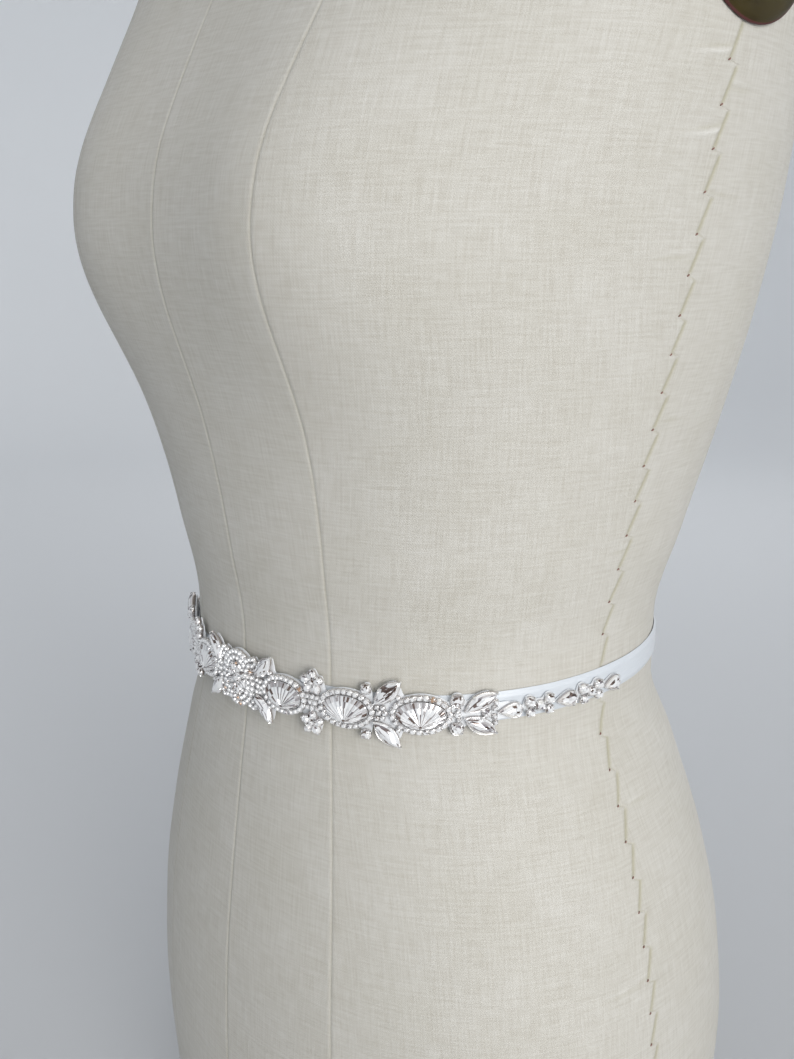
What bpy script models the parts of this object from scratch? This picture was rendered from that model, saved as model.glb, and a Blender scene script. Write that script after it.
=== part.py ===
"""Bridal sash: a narrow satin ribbon with a long rhinestone applique, worn round the waist of a limbless
dress form. Metres, +Z up. The form faces -Y, its left arm is at +X, and it stands on z = 0.

Everything on the sash is modelled flat, as (along, up, out): the distance along the ribbon from the centre
front, the height over the waist line, and the distance out from the form. worn() then bends it round the
waist, so pieces that lie on each other keep their gaps.
"""

import math

import bmesh
import bpy
from mathutils import Vector

# --- the dress form ---
WAIST_HEIGHT = 0.320  # from the floor to the waist line
WAIST_HALF_WIDTH = 0.1184
WAIST_HALF_DEPTH = 0.1057
WAIST_FULLNESS = 0.024
MIDDLE_SHIFT = -0.0031  # from the waist's middle to the middle of the whole form's depth, which is the origin
HEM_ROUNDING = 0.006  # radius at the bottom edge
TORSO_SEGMENTS = 44
# One row a level: height over the waist line, half width, depth to the front, depth to the back, and how much
# fuller than an ellipse the section is at its corners. Around the waist it stays the same for the ribbon.
TORSO_LEVELS = (
    # height, half_width, front, back, fullness
    (-0.320, 0.1470, 0.1140, 0.1340, 0.030),
    (-0.262, 0.1535, 0.1200, 0.1440, 0.032),
    (-0.200, 0.1580, 0.1230, 0.1490, 0.034),
    (-0.150, 0.1550, 0.1215, 0.1440, 0.034),
    (-0.100, 0.1455, 0.1165, 0.1330, 0.032),
    (-0.050, 0.1300, 0.1100, 0.1175, 0.028),
    (-0.014, WAIST_HALF_WIDTH, WAIST_HALF_DEPTH, WAIST_HALF_DEPTH, WAIST_FULLNESS),
    (0.014, WAIST_HALF_WIDTH, WAIST_HALF_DEPTH, WAIST_HALF_DEPTH, WAIST_FULLNESS),
    (0.060, 0.1275, 0.1120, 0.1190, 0.030),
    (0.110, 0.1390, 0.1180, 0.1340, 0.036),
    (0.160, 0.1500, 0.1210, 0.1450, 0.042),
    (0.210, 0.1590, 0.1190, 0.1505, 0.046),
    (0.260, 0.1670, 0.1090, 0.1480, 0.046),
    (0.310, 0.1730, 0.0930, 0.1370, 0.044),
    (0.350, 0.1730, 0.0780, 0.1180, 0.040),
    (0.374, 0.1490, 0.0690, 0.1030, 0.034),
    (0.392, 0.1110, 0.0630, 0.0880, 0.020),
    (0.408, 0.0780, 0.0590, 0.0740, 0.008),
    (0.425, 0.0640, 0.0560, 0.0660, 0.0),
    (0.470, 0.0590, 0.0530, 0.0600, 0.0),
)
TORSO_RINGS = 38
BUST_HEIGHT = 0.196
BUST_SPACING = 0.158
BUST_DEPTH = 0.031
BUST_REACH = 0.046  # how far the fullness spreads sideways
BUST_REACH_UP = 0.060
BUST_REACH_DOWN = 0.046
BUST_SIDE_FADE = 0.6  # the fullness fades out where the section's cosine is under this
BRIDGE_DEPTH = 0.009  # the cover spans the hollow between the two sides of the bust

# --- the arm plates, on flat ovals cut from the torso's sides ---
ARM_PLANE_X = 0.1600
ARM_PLANE_HEIGHT = 0.315  # over the waist line
ARM_PLANE_LEAN = math.radians(8)  # the top leans in
ARM_PLATE_HEIGHT = 0.112
ARM_PLATE_DEPTH = 0.084
ARM_PLATE_THICKNESS = 0.005
ARM_PLATE_BEVEL = 0.0015
ARM_PLATE_SIDES = 32
ARM_PLATE_CENTRE = (0.011, 0.004)  # back from the origin, and up from the cut's own centre

# --- the ribbon ---
CLEARANCE = 0.0003  # between pieces that touch
RIBBON_WIDTH = 0.0127
RIBBON_THICKNESS = 0.001
RIBBON_OUT = 0.0004  # from the form to the ribbon's inner face
RIBBON_LAP = 0.030  # the ends overlap this far at the centre back
LAP_RAMP = 0.030  # the upper end rises over this length
LAP_LEVEL = 0.005  # and is level this far before the lap
RIBBON_STATIONS = 120
FRONT_DIP = 0.0046  # the waist line falls this much at the front and rises as much at the back

RIBBON_FACE = RIBBON_OUT + RIBBON_THICKNESS

# --- how flat pieces are bent round the waist ---
WAIST_STEPS = 1440  # steps round the waist in the sum of its length
BEND_STEP = 0.005  # flat faces longer than this are cut across before they are bent
SNAP = 0.0002  # a cut this near a corner goes through the corner

# --- the applique ---
APPLIQUE_DROP = 0.0012  # its own middle line lies this far under the ribbon's
BACKING_THICKNESS = 0.001
BACKING_MARGIN = 0.0007
BACKING_HALF_HEIGHT = 0.0036  # where no stone asks for more
BACKING_STEP = 0.0025
BACKING_OUT = RIBBON_FACE + CLEARANCE
APPLIQUE_OUT = BACKING_OUT + BACKING_THICKNESS + CLEARANCE  # the plane that the settings stand on
ROUND_SIDES = 12
OUTLINE_POINTS = 40  # of the smooth outlines that the backing is cut from
SINK = 0.0004  # how far cups that are soldered together run into each other

FAN_CENTRES = (0.0310, 0.0630, 0.0950)
FAN_LENGTH = 0.0200
FAN_WIDTH = 0.0118
FAN_HEIGHT = 0.0034
FAN_FLUTES = 12
FAN_FLOOR = 0.0006  # metal under the fan stone
FAN_FOCUS = 0.30  # the flutes meet this share of the width under the middle
CHAIN_STONE = 0.0027  # a rhinestone of the chain that frames each fan
CHAIN_STONES = 24
CHAIN_HEIGHT = 0.0024
CHAIN_DIP = 0.72  # the height between two rhinestones, as a share of theirs
CHAIN_NOTCH = 0.965  # the outline between two rhinestones, as a share of theirs

MEDALLION_HALF_LENGTH = 0.0126
MEDALLION_HALF_WIDTH = 0.0135
MEDALLION_PETALS = 8
MEDALLION_HEIGHT = 0.0036
MEDALLION_HEART = 0.0030  # radius of its middle stone

# Each row stands for four pieces: above and below the middle line, on both sides of the centre.
LEAVES = (
    # name, along and up of the inner end, along and up of the tip, width
    ("inner", 0.0137, 0.0042, 0.0236, 0.0150, 0.0066),
    ("middle", 0.0757, 0.0040, 0.0868, 0.0144, 0.0070),
    ("outer", 0.1125, 0.0016, 0.1255, 0.0088, 0.0068),
)
LEAF_HEIGHT = 0.0038
LEAF_TABLE = 0.4  # the flat top, as a share of the outline
STONE_TABLE = 0.5
STONE_GIRDLE = 0.4  # where a stone leaves its cup, as a share of the height
CUP_FOOT = 0.92  # the cup's foot, as a share of the outline
ROUNDS = (
    # name, along, up, diameter
    ("middle", 0.0722, 0.0101, 0.0048),
    ("outer", 0.1095, 0.0062, 0.0060),
)
CROOK_ROUND = (0.1215, 0.0040)  # along, and its diameter
ROUND_HEIGHT = 0.0030
FLOWER_ALONG = 0.0468
FLOWER_UP = 0.0092
FLOWER_RADIUS = 0.0058
FLOWER_PETALS = 5
FLOWER_HEIGHT = 0.0030
FLOWER_BASE = 0.0010  # the metal rim under the petals
PEARS = (0.1313, 0.1573, 0.1833)  # the middle of each
PEAR_LENGTH = 0.0100
PEAR_WIDTH = 0.0066
PEAR_HEIGHT = 0.0036
PEAR_SWELL = 1.3  # how late the drop swells from its point
# The cups of one link, from its middle: two near the pear before, one between, two near the pear after
LINK_CUPS = (
    # along, up, diameter
    (-0.0045, 0.0024, 0.0052),
    (-0.0043, -0.0023, 0.0044),
    (0.0000, 0.0002, 0.0050),
    (0.0043, 0.0023, 0.0050),
    (0.0043, -0.0023, 0.0044),
)
LINK_SHIFT = 0.0002  # a link lies this much past the middle between its two pears

COLOURS = {
    # material: colour, roughness, metallic
    "linen": ((0.62, 0.59, 0.53), 0.9, 0.0),
    "arm_plate": ((0.10, 0.085, 0.06), 0.5, 0.0),
    "satin": ((0.80, 0.83, 0.87), 0.35, 0.0),
    "backing": ((0.86, 0.87, 0.88), 0.8, 0.0),
    "silver": ((0.72, 0.72, 0.74), 0.25, 1.0),
    "crystal": ((0.90, 0.92, 0.95), 0.05, 0.6),
}


# --- helpers ---
def clear_scene():
    for thing in list(bpy.data.objects):
        bpy.data.objects.remove(thing, do_unlink=True)


def new_collection(name):
    collection = bpy.data.collections.new(name)
    bpy.context.scene.collection.children.link(collection)
    return collection


def make_materials():
    made = {}
    for name, (colour, roughness, metallic) in COLOURS.items():
        material = bpy.data.materials.new(name)
        material.use_nodes = True
        shader = material.node_tree.nodes["Principled BSDF"]
        shader.inputs["Base Color"].default_value = (*colour, 1.0)
        shader.inputs["Roughness"].default_value = roughness
        shader.inputs["Metallic"].default_value = metallic
        made[name] = material
    return made


def add_object(name, bm, material, smooth_angle=None):
    """Puts the bmesh into the collection as one object, smooth where faces meet under smooth_angle."""
    mesh = bpy.data.meshes.new(name)
    bm.to_mesh(mesh)
    bm.free()
    if smooth_angle is not None:
        mesh.shade_smooth()
        mesh.set_sharp_from_angle(angle=math.radians(smooth_angle))
    mesh.materials.append(MATERIALS[material])
    made = bpy.data.objects.new(name, mesh)
    SASH.objects.link(made)
    return made


def row_slope(rows, column, index):
    """The slope at a row of a table, level where the values turn, so that the curve never overshoots."""
    if index in (0, len(rows) - 1):
        return 0.0
    before, here, after = rows[index - 1 : index + 2]
    below = (here[column] - before[column]) / (here[0] - before[0])
    above = (after[column] - here[column]) / (after[0] - here[0])
    return 2 * below * above / (below + above) if below * above > 0 else 0.0


def from_table(rows, column, height):
    """A value between the rows of a table, on a smooth curve. The first column is the height."""
    height = min(max(height, rows[0][0]), rows[-1][0])
    index = max(i for i in range(len(rows) - 1) if rows[i][0] <= height)
    low, high = rows[index], rows[index + 1]
    gap = high[0] - low[0]
    part = (height - low[0]) / gap
    low_slope = row_slope(rows, column, index) * gap
    high_slope = row_slope(rows, column, index + 1) * gap
    step = part * part * (3 - 2 * part)
    return (
        low[column] * (1 - step)
        + high[column] * step
        + low_slope * part * (1 - part) ** 2
        - high_slope * part * part * (1 - part)
    )


def smooth_step(part):
    part = min(max(part, 0.0), 1.0)
    return part * part * (3 - 2 * part)


# --- the form's surface and the line of the waist ---
def bust_fullness(across, height):
    """How far the bust stands out in front of the plain section."""
    rise = height - BUST_HEIGHT
    reach = BUST_REACH_UP if rise > 0 else BUST_REACH_DOWN
    level = math.exp(-((rise / reach) ** 2) / 2)
    sides = sum(
        math.exp(-(((across - side * BUST_SPACING / 2) / BUST_REACH) ** 2) / 2)
        for side in (-1, 1)
    )
    bridge = math.exp(-((across / BUST_REACH) ** 2))
    return level * (BUST_DEPTH * sides + BRIDGE_DEPTH * bridge)


def torso_point(angle, height):
    """A point of the form. The angle is 0 at the centre front and grows towards its left arm, at +X."""
    half_width, front, back, fullness = (
        from_table(TORSO_LEVELS, column, height) for column in (1, 2, 3, 4)
    )
    sine, cosine = math.sin(angle), math.cos(angle)
    corners = 1 + fullness * math.sin(2 * angle) ** 2
    across = half_width * sine * corners
    along = -(front if cosine > 0 else back) * cosine * corners
    along -= bust_fullness(across, height) * smooth_step(cosine / BUST_SIDE_FADE)
    return Vector((across, along + MIDDLE_SHIFT, WAIST_HEIGHT + height))


def waist_lengths():
    """The length along the waist line at each of WAIST_STEPS + 1 even angles, from the centre back."""
    turns = [-math.pi + 2 * math.pi * step / WAIST_STEPS for step in range(WAIST_STEPS + 1)]
    points = [torso_point(turn, 0.0) for turn in turns]
    lengths = [0.0]
    for before, after in zip(points, points[1:]):
        lengths.append(lengths[-1] + (after - before).length)
    return lengths


def waist_angle(along):
    """The angle round the waist at a distance along it from the centre front."""
    girth = WAIST_LENGTHS[-1]
    turns, wanted = divmod(along + girth / 2, girth)
    low, high = 0, WAIST_STEPS
    while high - low > 1:
        middle = (low + high) // 2
        if WAIST_LENGTHS[middle] <= wanted:
            low = middle
        else:
            high = middle
    part = (wanted - WAIST_LENGTHS[low]) / (WAIST_LENGTHS[high] - WAIST_LENGTHS[low])
    return -math.pi + 2 * math.pi * (turns + (low + part) / WAIST_STEPS)


def worn(along, up, out):
    """The place on the form of a point of the flat sash."""
    angle = waist_angle(along)
    step = math.pi / WAIST_STEPS
    way = torso_point(angle + step, 0.0) - torso_point(angle - step, 0.0)
    normal = Vector((way.y, -way.x, 0)).normalized()
    point = torso_point(angle, 0.0) + normal * out
    point.z += up - FRONT_DIP * math.cos(angle)
    return point


def wear(bm):
    """Bends the flat piece round the waist. First its wide flat faces are cut into strips that can bend."""
    places = [vert.co.x for vert in bm.verts]
    low, length = min(places), max(places) - min(places)
    cuts = int(length // BEND_STEP)
    for i in range(1, cuts + 1):
        faces = []
        for face in bm.faces:
            ends = [vert.co.x for vert in face.verts]
            if max(ends) - min(ends) > BEND_STEP:
                faces.append(face)
        edges = {edge for face in faces for edge in face.edges}
        verts = {vert for face in faces for vert in face.verts}
        place = (low + length * i / (cuts + 1), 0, 0)
        geometry = [*verts, *edges, *faces]
        bmesh.ops.bisect_plane(bm, geom=geometry, dist=SNAP, plane_co=place, plane_no=(1, 0, 0))
    for vert in bm.verts:
        vert.co = worn(*vert.co)


# --- the form's pieces ---
def runs_clockwise(ring):
    """True if the ring turns clockwise when seen from above."""
    pairs = zip(ring, [*ring[1:], ring[0]])
    return sum(a[0] * b[1] - a[1] * b[0] for a, b in pairs) < 0


def loft(bm, rings):
    """Joins rings of points, each with as many, into one closed body with flat ends."""
    if runs_clockwise(rings[0]):
        rings = [ring[::-1] for ring in rings]
    made = [[bm.verts.new(point) for point in ring] for ring in rings]
    count = len(made[0])
    for below, above in zip(made, made[1:]):
        for i in range(count):
            after = (i + 1) % count
            bm.faces.new((below[i], below[after], above[after], above[i]))
    bm.faces.new(made[0][::-1])
    bm.faces.new(made[-1])


def cut_flat(bm, side):
    """Cuts the flat oval of one armhole."""
    normal = Vector((side * math.cos(ARM_PLANE_LEAN), 0, math.sin(ARM_PLANE_LEAN)))
    place = Vector((side * ARM_PLANE_X, 0, WAIST_HEIGHT + ARM_PLANE_HEIGHT))
    geometry = list(bm.verts) + list(bm.edges) + list(bm.faces)
    cut = bmesh.ops.bisect_plane(
        bm, geom=geometry, plane_co=place, plane_no=normal, clear_outer=True
    )["geom_cut"]
    rim = [part for part in cut if isinstance(part, bmesh.types.BMEdge)]
    bmesh.ops.edgenet_fill(bm, edges=rim)


def make_torso():
    low, high = TORSO_LEVELS[0][0], TORSO_LEVELS[-1][0]
    heights = [low + (high - low) * i / TORSO_RINGS for i in range(TORSO_RINGS + 1)]
    heights.insert(1, low + HEM_ROUNDING)
    rings = [
        [torso_point(2 * math.pi * i / TORSO_SEGMENTS, height) for i in range(TORSO_SEGMENTS)]
        for height in heights
    ]
    middle = Vector((0, 0, WAIST_HEIGHT + low))
    bottom_scale = 1 - HEM_ROUNDING / TORSO_LEVELS[0][1]
    rings[0] = [middle + (point - middle) * bottom_scale for point in rings[0]]
    bm = bmesh.new()
    loft(bm, rings)
    for side in (-1, 1):
        cut_flat(bm, side)
    add_object("form_torso", bm, "linen", smooth_angle=40)


def make_arm_plate(name, side):
    """An oval disc with a rounded rim, flat against the armhole's oval."""
    bm = bmesh.new()
    bmesh.ops.create_cone(
        bm, cap_ends=True, segments=ARM_PLATE_SIDES, radius1=0.5, radius2=0.5, depth=ARM_PLATE_THICKNESS
    )
    bmesh.ops.scale(bm, vec=(ARM_PLATE_HEIGHT, ARM_PLATE_DEPTH, 1), verts=bm.verts)
    made = add_object(name, bm, "arm_plate", smooth_angle=40)
    bevel = made.modifiers.new("rim", "BEVEL")
    bevel.width = ARM_PLATE_BEVEL
    bevel.segments = 1
    bevel.limit_method = "ANGLE"
    back, up = ARM_PLATE_CENTRE
    out = CLEARANCE + ARM_PLATE_THICKNESS / 2
    lean = ARM_PLANE_LEAN
    made.location = (
        side * (ARM_PLANE_X + out * math.cos(lean) - up * math.sin(lean)),
        back,
        WAIST_HEIGHT + ARM_PLANE_HEIGHT + out * math.sin(lean) + up * math.cos(lean),
    )
    made.rotation_euler = (0, side * (math.pi / 2 - lean), 0)


# --- the ribbon and the backing ---
def lap_rise(along, half):
    """How far the end that laps over the other is lifted off it."""
    start = half - RIBBON_LAP - LAP_RAMP - LAP_LEVEL
    return (RIBBON_THICKNESS + CLEARANCE) * smooth_step((along - start) / LAP_RAMP)


def strip(bm, stations):
    """A strip of cloth between the two edge points of each station."""
    edges = [(bm.verts.new(low), bm.verts.new(high)) for low, high in stations]
    for (low, high), (next_low, next_high) in zip(edges, edges[1:]):
        bm.faces.new((low, next_low, next_high, high))


def thicken(made, thickness):
    """Gives a strip its wall, outwards from the face that was drawn."""
    wall = made.modifiers.new("wall", "SOLIDIFY")
    wall.thickness = thickness
    wall.offset = 1.0
    wall.use_even_offset = True


def outward(bm):
    """Turns a strip's faces away from the form, which stands on the Z axis."""
    for face in bm.faces:
        middle = face.calc_center_median()
        if face.normal.dot(Vector((middle.x, middle.y, 0))) < 0:
            face.normal_flip()


def make_cloth(name, stations, material, thickness):
    """A band of cloth with its wall outside the face between the stations' edges."""
    bm = bmesh.new()
    strip(bm, stations)
    bm.normal_update()
    outward(bm)
    thicken(add_object(name, bm, material), thickness)


def make_ribbon():
    half = (WAIST_LENGTHS[-1] + RIBBON_LAP) / 2
    stations = []
    for i in range(RIBBON_STATIONS + 1):
        along = -half + 2 * half * i / RIBBON_STATIONS
        out = RIBBON_OUT + lap_rise(along, half)
        edges = (-RIBBON_WIDTH / 2, RIBBON_WIDTH / 2)
        stations.append([worn(along, up, out) for up in edges])
    make_cloth("ribbon", stations, "satin", RIBBON_THICKNESS)


def oval(along, up, half_length, half_width, count):
    turns = [2 * math.pi * i / count for i in range(count)]
    return [
        (along + half_length * math.cos(turn), up + half_width * math.sin(turn)) for turn in turns
    ]


def navette(length, width, count):
    """A leaf outline with two pointed ends, around the origin."""
    half = count // 2
    side = [-1 + 2 * i / half for i in range(half)]
    low = [(part * length / 2, -(1 - part * part) * width / 2) for part in side]
    return low + [(-x, -y) for x, y in low]


def pear(length, width, count):
    """A drop outline with its point at the low end of the first axis, around the origin."""
    points = []
    for i in range(count):
        turn = math.pi + 2 * math.pi * i / count
        swell = math.sin((turn - math.pi) / 2) ** PEAR_SWELL
        points.append((length / 2 * math.cos(turn), math.sin(turn) * swell))
    widest = 2 * max(y for _, y in points)
    return [(x, y * width / widest) for x, y in points]


def placed(outline, along, up, turn=0.0):
    cosine, sine = math.cos(turn), math.sin(turn)
    return [(along + x * cosine - y * sine, up + x * sine + y * cosine) for x, y in outline]


def leaf_outline(row, above, side, count):
    """The outline, on the flat sash, of one of the four leaves of a row."""
    _, near, near_up, far, far_up, width = row
    start = Vector((side * near, above * near_up))
    end = Vector((side * far, above * far_up))
    middle = (start + end) / 2
    turn = math.atan2(end.y - start.y, end.x - start.x)
    shape = navette((end - start).length, width, count)
    return placed(shape, middle.x, middle.y - APPLIQUE_DROP, turn)


def disc(along, up, diameter, count=ROUND_SIDES):
    """A round outline at a place on the applique, whose middle line lies under the ribbon's."""
    return oval(along, up - APPLIQUE_DROP, diameter / 2, diameter / 2, count)


def pear_outline(along, side, count):
    shape = [(side * x, y) for x, y in pear(PEAR_LENGTH, PEAR_WIDTH, count)]
    return placed(shape, side * along, -APPLIQUE_DROP)


def fan_oval(along, margin, count):
    """The outline of a fan stone, or one at a margin outside it."""
    return oval(along, -APPLIQUE_DROP, FAN_LENGTH / 2 + margin, FAN_WIDTH / 2 + margin, count)


def medallion_oval(count):
    return oval(0, -APPLIQUE_DROP, MEDALLION_HALF_LENGTH, MEDALLION_HALF_WIDTH, count)


def link_middles():
    return [(before + after) / 2 + LINK_SHIFT for before, after in zip(PEARS, PEARS[1:])]


def applique_outlines():
    """The outline of every piece that lies on the backing."""
    count = OUTLINE_POINTS
    found = [medallion_oval(count)]
    for side in (-1, 1):
        for along in FAN_CENTRES:
            found.append(fan_oval(side * along, CLEARANCE + CHAIN_STONE, count))
        for along in PEARS:
            found.append(pear_outline(along, side, count))
        for along in link_middles():
            for cup_along, up, diameter in LINK_CUPS:
                found.append(disc(side * (along + cup_along), up, diameter, count))
        for above in (-1, 1):
            found += [leaf_outline(row, above, side, count) for row in LEAVES]
            found.append(disc(side * FLOWER_ALONG, above * FLOWER_UP, 2 * FLOWER_RADIUS, count))
            for _, along, up, diameter in ROUNDS:
                found.append(disc(side * along, above * up, diameter, count))
    return found


def span_at(outline, along):
    """The lowest and highest point of a convex outline at a station, or None."""
    ups = []
    for (x0, y0), (x1, y1) in zip(outline, outline[1:] + outline[:1]):
        if (x0 - along) * (x1 - along) < 0:
            ups.append(y0 + (y1 - y0) * (along - x0) / (x1 - x0))
    return (min(ups), max(ups)) if ups else None


def make_backing():
    """The backing follows the stones' outline a little outside them, in shallow scallops."""
    outlines = applique_outlines()
    reach = PEARS[-1] + PEAR_LENGTH / 2 + BACKING_MARGIN
    count = round(2 * reach / BACKING_STEP)
    stations = []
    for i in range(count + 1):
        along = -reach + 2 * reach * i / count
        low, high = -APPLIQUE_DROP, -APPLIQUE_DROP
        if abs(along) < PEARS[0]:
            low, high = low - BACKING_HALF_HEIGHT, high + BACKING_HALF_HEIGHT
        for near in (-BACKING_STEP / 2, 0, BACKING_STEP / 2):
            for outline in outlines:
                span = span_at(outline, along + near)
                if span:
                    low, high = min(low, span[0]), max(high, span[1])
        edges = (low - BACKING_MARGIN, high + BACKING_MARGIN)
        stations.append([worn(along, up, BACKING_OUT) for up in edges])
    make_cloth("applique_backing", stations, "backing", BACKING_THICKNESS)


# --- stones and settings, modelled flat and then worn ---
def shrink(outline, scale, middle=None):
    """The outline drawn in towards its middle."""
    if middle is None:
        middle = [sum(point[axis] for point in outline) / len(outline) for axis in (0, 1)]
    return [
        (middle[0] + (x - middle[0]) * scale, middle[1] + (y - middle[1]) * scale)
        for x, y in outline
    ]


def at_height(outline, out):
    return [(x, y, APPLIQUE_OUT + out) for x, y in outline]


def add_stone(name, outline, height, table=STONE_TABLE):
    """A stone in its cup: a metal wall, then a crown of facets up to a flat table."""
    rings = [
        at_height(shrink(outline, CUP_FOOT), 0.0),
        at_height(outline, height * STONE_GIRDLE),
        at_height(shrink(outline, table), height),
    ]
    bm = bmesh.new()
    loft(bm, rings)
    wear(bm)
    return add_object(name, bm, "crystal")


def with_heights(outline, low, high, share):
    """The outline at a height of its own for each point, between a low and a high one."""
    return [
        (x, y, APPLIQUE_OUT + low + (high - low) * part) for (x, y), part in zip(outline, share)
    ]


def alternating(count, even, odd):
    return [odd if i % 2 else even for i in range(count)]


def make_fan_setting(name, along):
    """A dish for the stone, with a beaded frame of rhinestone chain around it."""
    middle = (along, -APPLIQUE_DROP)
    count = 2 * CHAIN_STONES
    notches = alternating(count, CHAIN_NOTCH, 1.0)
    outer = fan_oval(along, CLEARANCE + CHAIN_STONE, count)
    outer = [shrink([point], notch, middle)[0] for point, notch in zip(outer, notches)]
    crest = fan_oval(along, CLEARANCE + CHAIN_STONE / 2, count)
    rings = [
        at_height(outer, 0.0),
        at_height(outer, CHAIN_HEIGHT / 2),
        with_heights(crest, 0.0, CHAIN_HEIGHT, alternating(count, CHAIN_DIP, 1.0)),
        at_height(fan_oval(along, CLEARANCE, count), FAN_FLOOR),
    ]
    bm = bmesh.new()
    loft(bm, rings)
    wear(bm)
    add_object(name, bm, "silver")


def make_fan_stone(name, along):
    """An oval stone whose flutes spread from a point near its lower edge."""
    count = 2 * FAN_FLUTES
    rim = fan_oval(along, 0.0, count)
    focus = (along, -APPLIQUE_DROP - FAN_WIDTH * FAN_FOCUS)
    base = FAN_FLOOR + CLEARANCE
    rings = [
        at_height(rim, base),
        with_heights(rim, base, FAN_HEIGHT, alternating(count, 0.31, 0.45)),
        with_heights(shrink(rim, 0.6, focus), base, FAN_HEIGHT, alternating(count, 0.79, 0.87)),
        at_height(shrink(rim, 0.12, focus), FAN_HEIGHT),
    ]
    bm = bmesh.new()
    loft(bm, rings)
    wear(bm)
    add_object(name, bm, "crystal")


def lobes(petals, count):
    """For points spread evenly round a flower, 1 on a petal's middle line and 0 between two petals."""
    return [abs(math.cos(petals * math.pi * i / count)) for i in range(count)]


def lobed(outline, middle, share, depth):
    """The outline drawn in between the petals by up to the depth, a share of its reach."""
    return [
        shrink([point], 1 - depth + depth * lobe**0.6, middle)[0]
        for point, lobe in zip(outline, share)
    ]


def make_flower(name, along, up):
    """Petals of stones that rise from a notched rim, round a domed middle stone."""
    middle = (along, up - APPLIQUE_DROP)
    count = FLOWER_PETALS * 4
    share = lobes(FLOWER_PETALS, count)
    whole = disc(along, up, 2 * FLOWER_RADIUS, count)
    rim = lobed(whole, middle, share, 0.30)
    petals = lobed(shrink(whole, 0.62, middle), middle, share, 0.10)
    heart = shrink(whole, 0.34, middle)
    rings = [
        at_height(shrink(rim, 0.94, middle), 0.0),
        at_height(rim, FLOWER_BASE),
        with_heights(petals, FLOWER_HEIGHT * 0.62, FLOWER_HEIGHT * 0.84, share),
        at_height(heart, FLOWER_HEIGHT * 0.66),
        at_height(shrink(heart, 0.5, middle), FLOWER_HEIGHT),
    ]
    bm = bmesh.new()
    loft(bm, rings)
    wear(bm)
    add_object(name, bm, "crystal")


def make_medallion():
    """The dense centre: navette petals round a domed stone, in an upright oval of rhinestones."""
    middle = (0.0, -APPLIQUE_DROP)
    count = MEDALLION_PETALS * 6
    rim = medallion_oval(count)
    heart = oval(*middle, MEDALLION_HEART, MEDALLION_HEART, count)
    low, high = MEDALLION_HEIGHT * 0.62, MEDALLION_HEIGHT * 0.92
    rings = [
        at_height(rim, 0.0),
        at_height(rim, CHAIN_HEIGHT * 0.6),
        with_heights(shrink(rim, 0.9), 0.0, CHAIN_HEIGHT, alternating(count, 0.8, 1.0)),
        at_height(shrink(rim, 0.8), CHAIN_HEIGHT * 0.7),
        with_heights(shrink(rim, 0.55), low, high, lobes(MEDALLION_PETALS, count)),
        at_height(heart, MEDALLION_HEIGHT * 0.66),
        at_height(shrink(heart, 0.5), MEDALLION_HEIGHT),
    ]
    bm = bmesh.new()
    loft(bm, rings)
    wear(bm)
    add_object("centre_medallion", bm, "crystal")


def make_link(name, side, along):
    """Five round cups soldered in a row of two, one and two, joined into one body."""
    cups = []
    for cup_along, up, diameter in LINK_CUPS:
        outline = disc(side * (along + cup_along), up, diameter + SINK)
        cups.append(add_stone(f"{name}_cup_{len(cups)}", outline, ROUND_HEIGHT))
    body, *others = cups
    body.name = name
    for other in others:
        other.hide_render = True
        other.display_type = "WIRE"
        SASH.objects.unlink(other)
        CUTTERS.objects.link(other)
        join = body.modifiers.new(other.name, "BOOLEAN")
        join.operation = "UNION"
        join.object = other


def make_side(side, side_name):
    """Everything on one side of the centre front."""
    for number, along in enumerate(FAN_CENTRES, 1):
        make_fan_setting(f"fan_setting_{side_name}_{number}", side * along)
        make_fan_stone(f"fan_stone_{side_name}_{number}", side * along)
    for above, above_name in ((1, "upper"), (-1, "lower")):
        end = f"{side_name}_{above_name}"
        for row in LEAVES:
            outline = leaf_outline(row, above, side, ROUND_SIDES)
            add_stone(f"leaf_{row[0]}_{end}", outline, LEAF_HEIGHT, LEAF_TABLE)
        for name, along, up, diameter in ROUNDS:
            add_stone(f"round_{name}_{end}", disc(side * along, above * up, diameter), ROUND_HEIGHT)
        make_flower("flower_" + end, side * FLOWER_ALONG, above * FLOWER_UP)
    along, diameter = CROOK_ROUND
    add_stone(f"round_crook_{side_name}", disc(side * along, 0.0, diameter), ROUND_HEIGHT)
    for number, along in enumerate(PEARS, 1):
        outline = pear_outline(along, side, ROUND_SIDES + 4)
        add_stone(f"pear_{side_name}_{number}", outline, PEAR_HEIGHT)
    for number, along in enumerate(link_middles(), 1):
        make_link(f"link_{side_name}_{number}", side, along)


clear_scene()
SASH = new_collection("bridal_sash")
CUTTERS = new_collection("joined_cups")
MATERIALS = make_materials()
WAIST_LENGTHS = waist_lengths()

make_torso()
make_arm_plate("form_arm_plate_left", 1)
make_arm_plate("form_arm_plate_right", -1)
make_ribbon()
make_backing()
make_medallion()
make_side(1, "left")
make_side(-1, "right")
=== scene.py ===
"""The looks of a bridal sash on a dress form: linen, satin, silver settings and cut crystals around the
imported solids. Metres, +Z up. The form faces -Y and its left arm is at +X.

Everything on the sash is drawn flat, as (along, up, out), and worn() bends it round the waist: the distance
along the ribbon from the centre front, the height over the waist line, and the distance out from the form.
"""

import math
import random

import bpy
import numpy as np
from mathutils import Matrix, Vector


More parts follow.
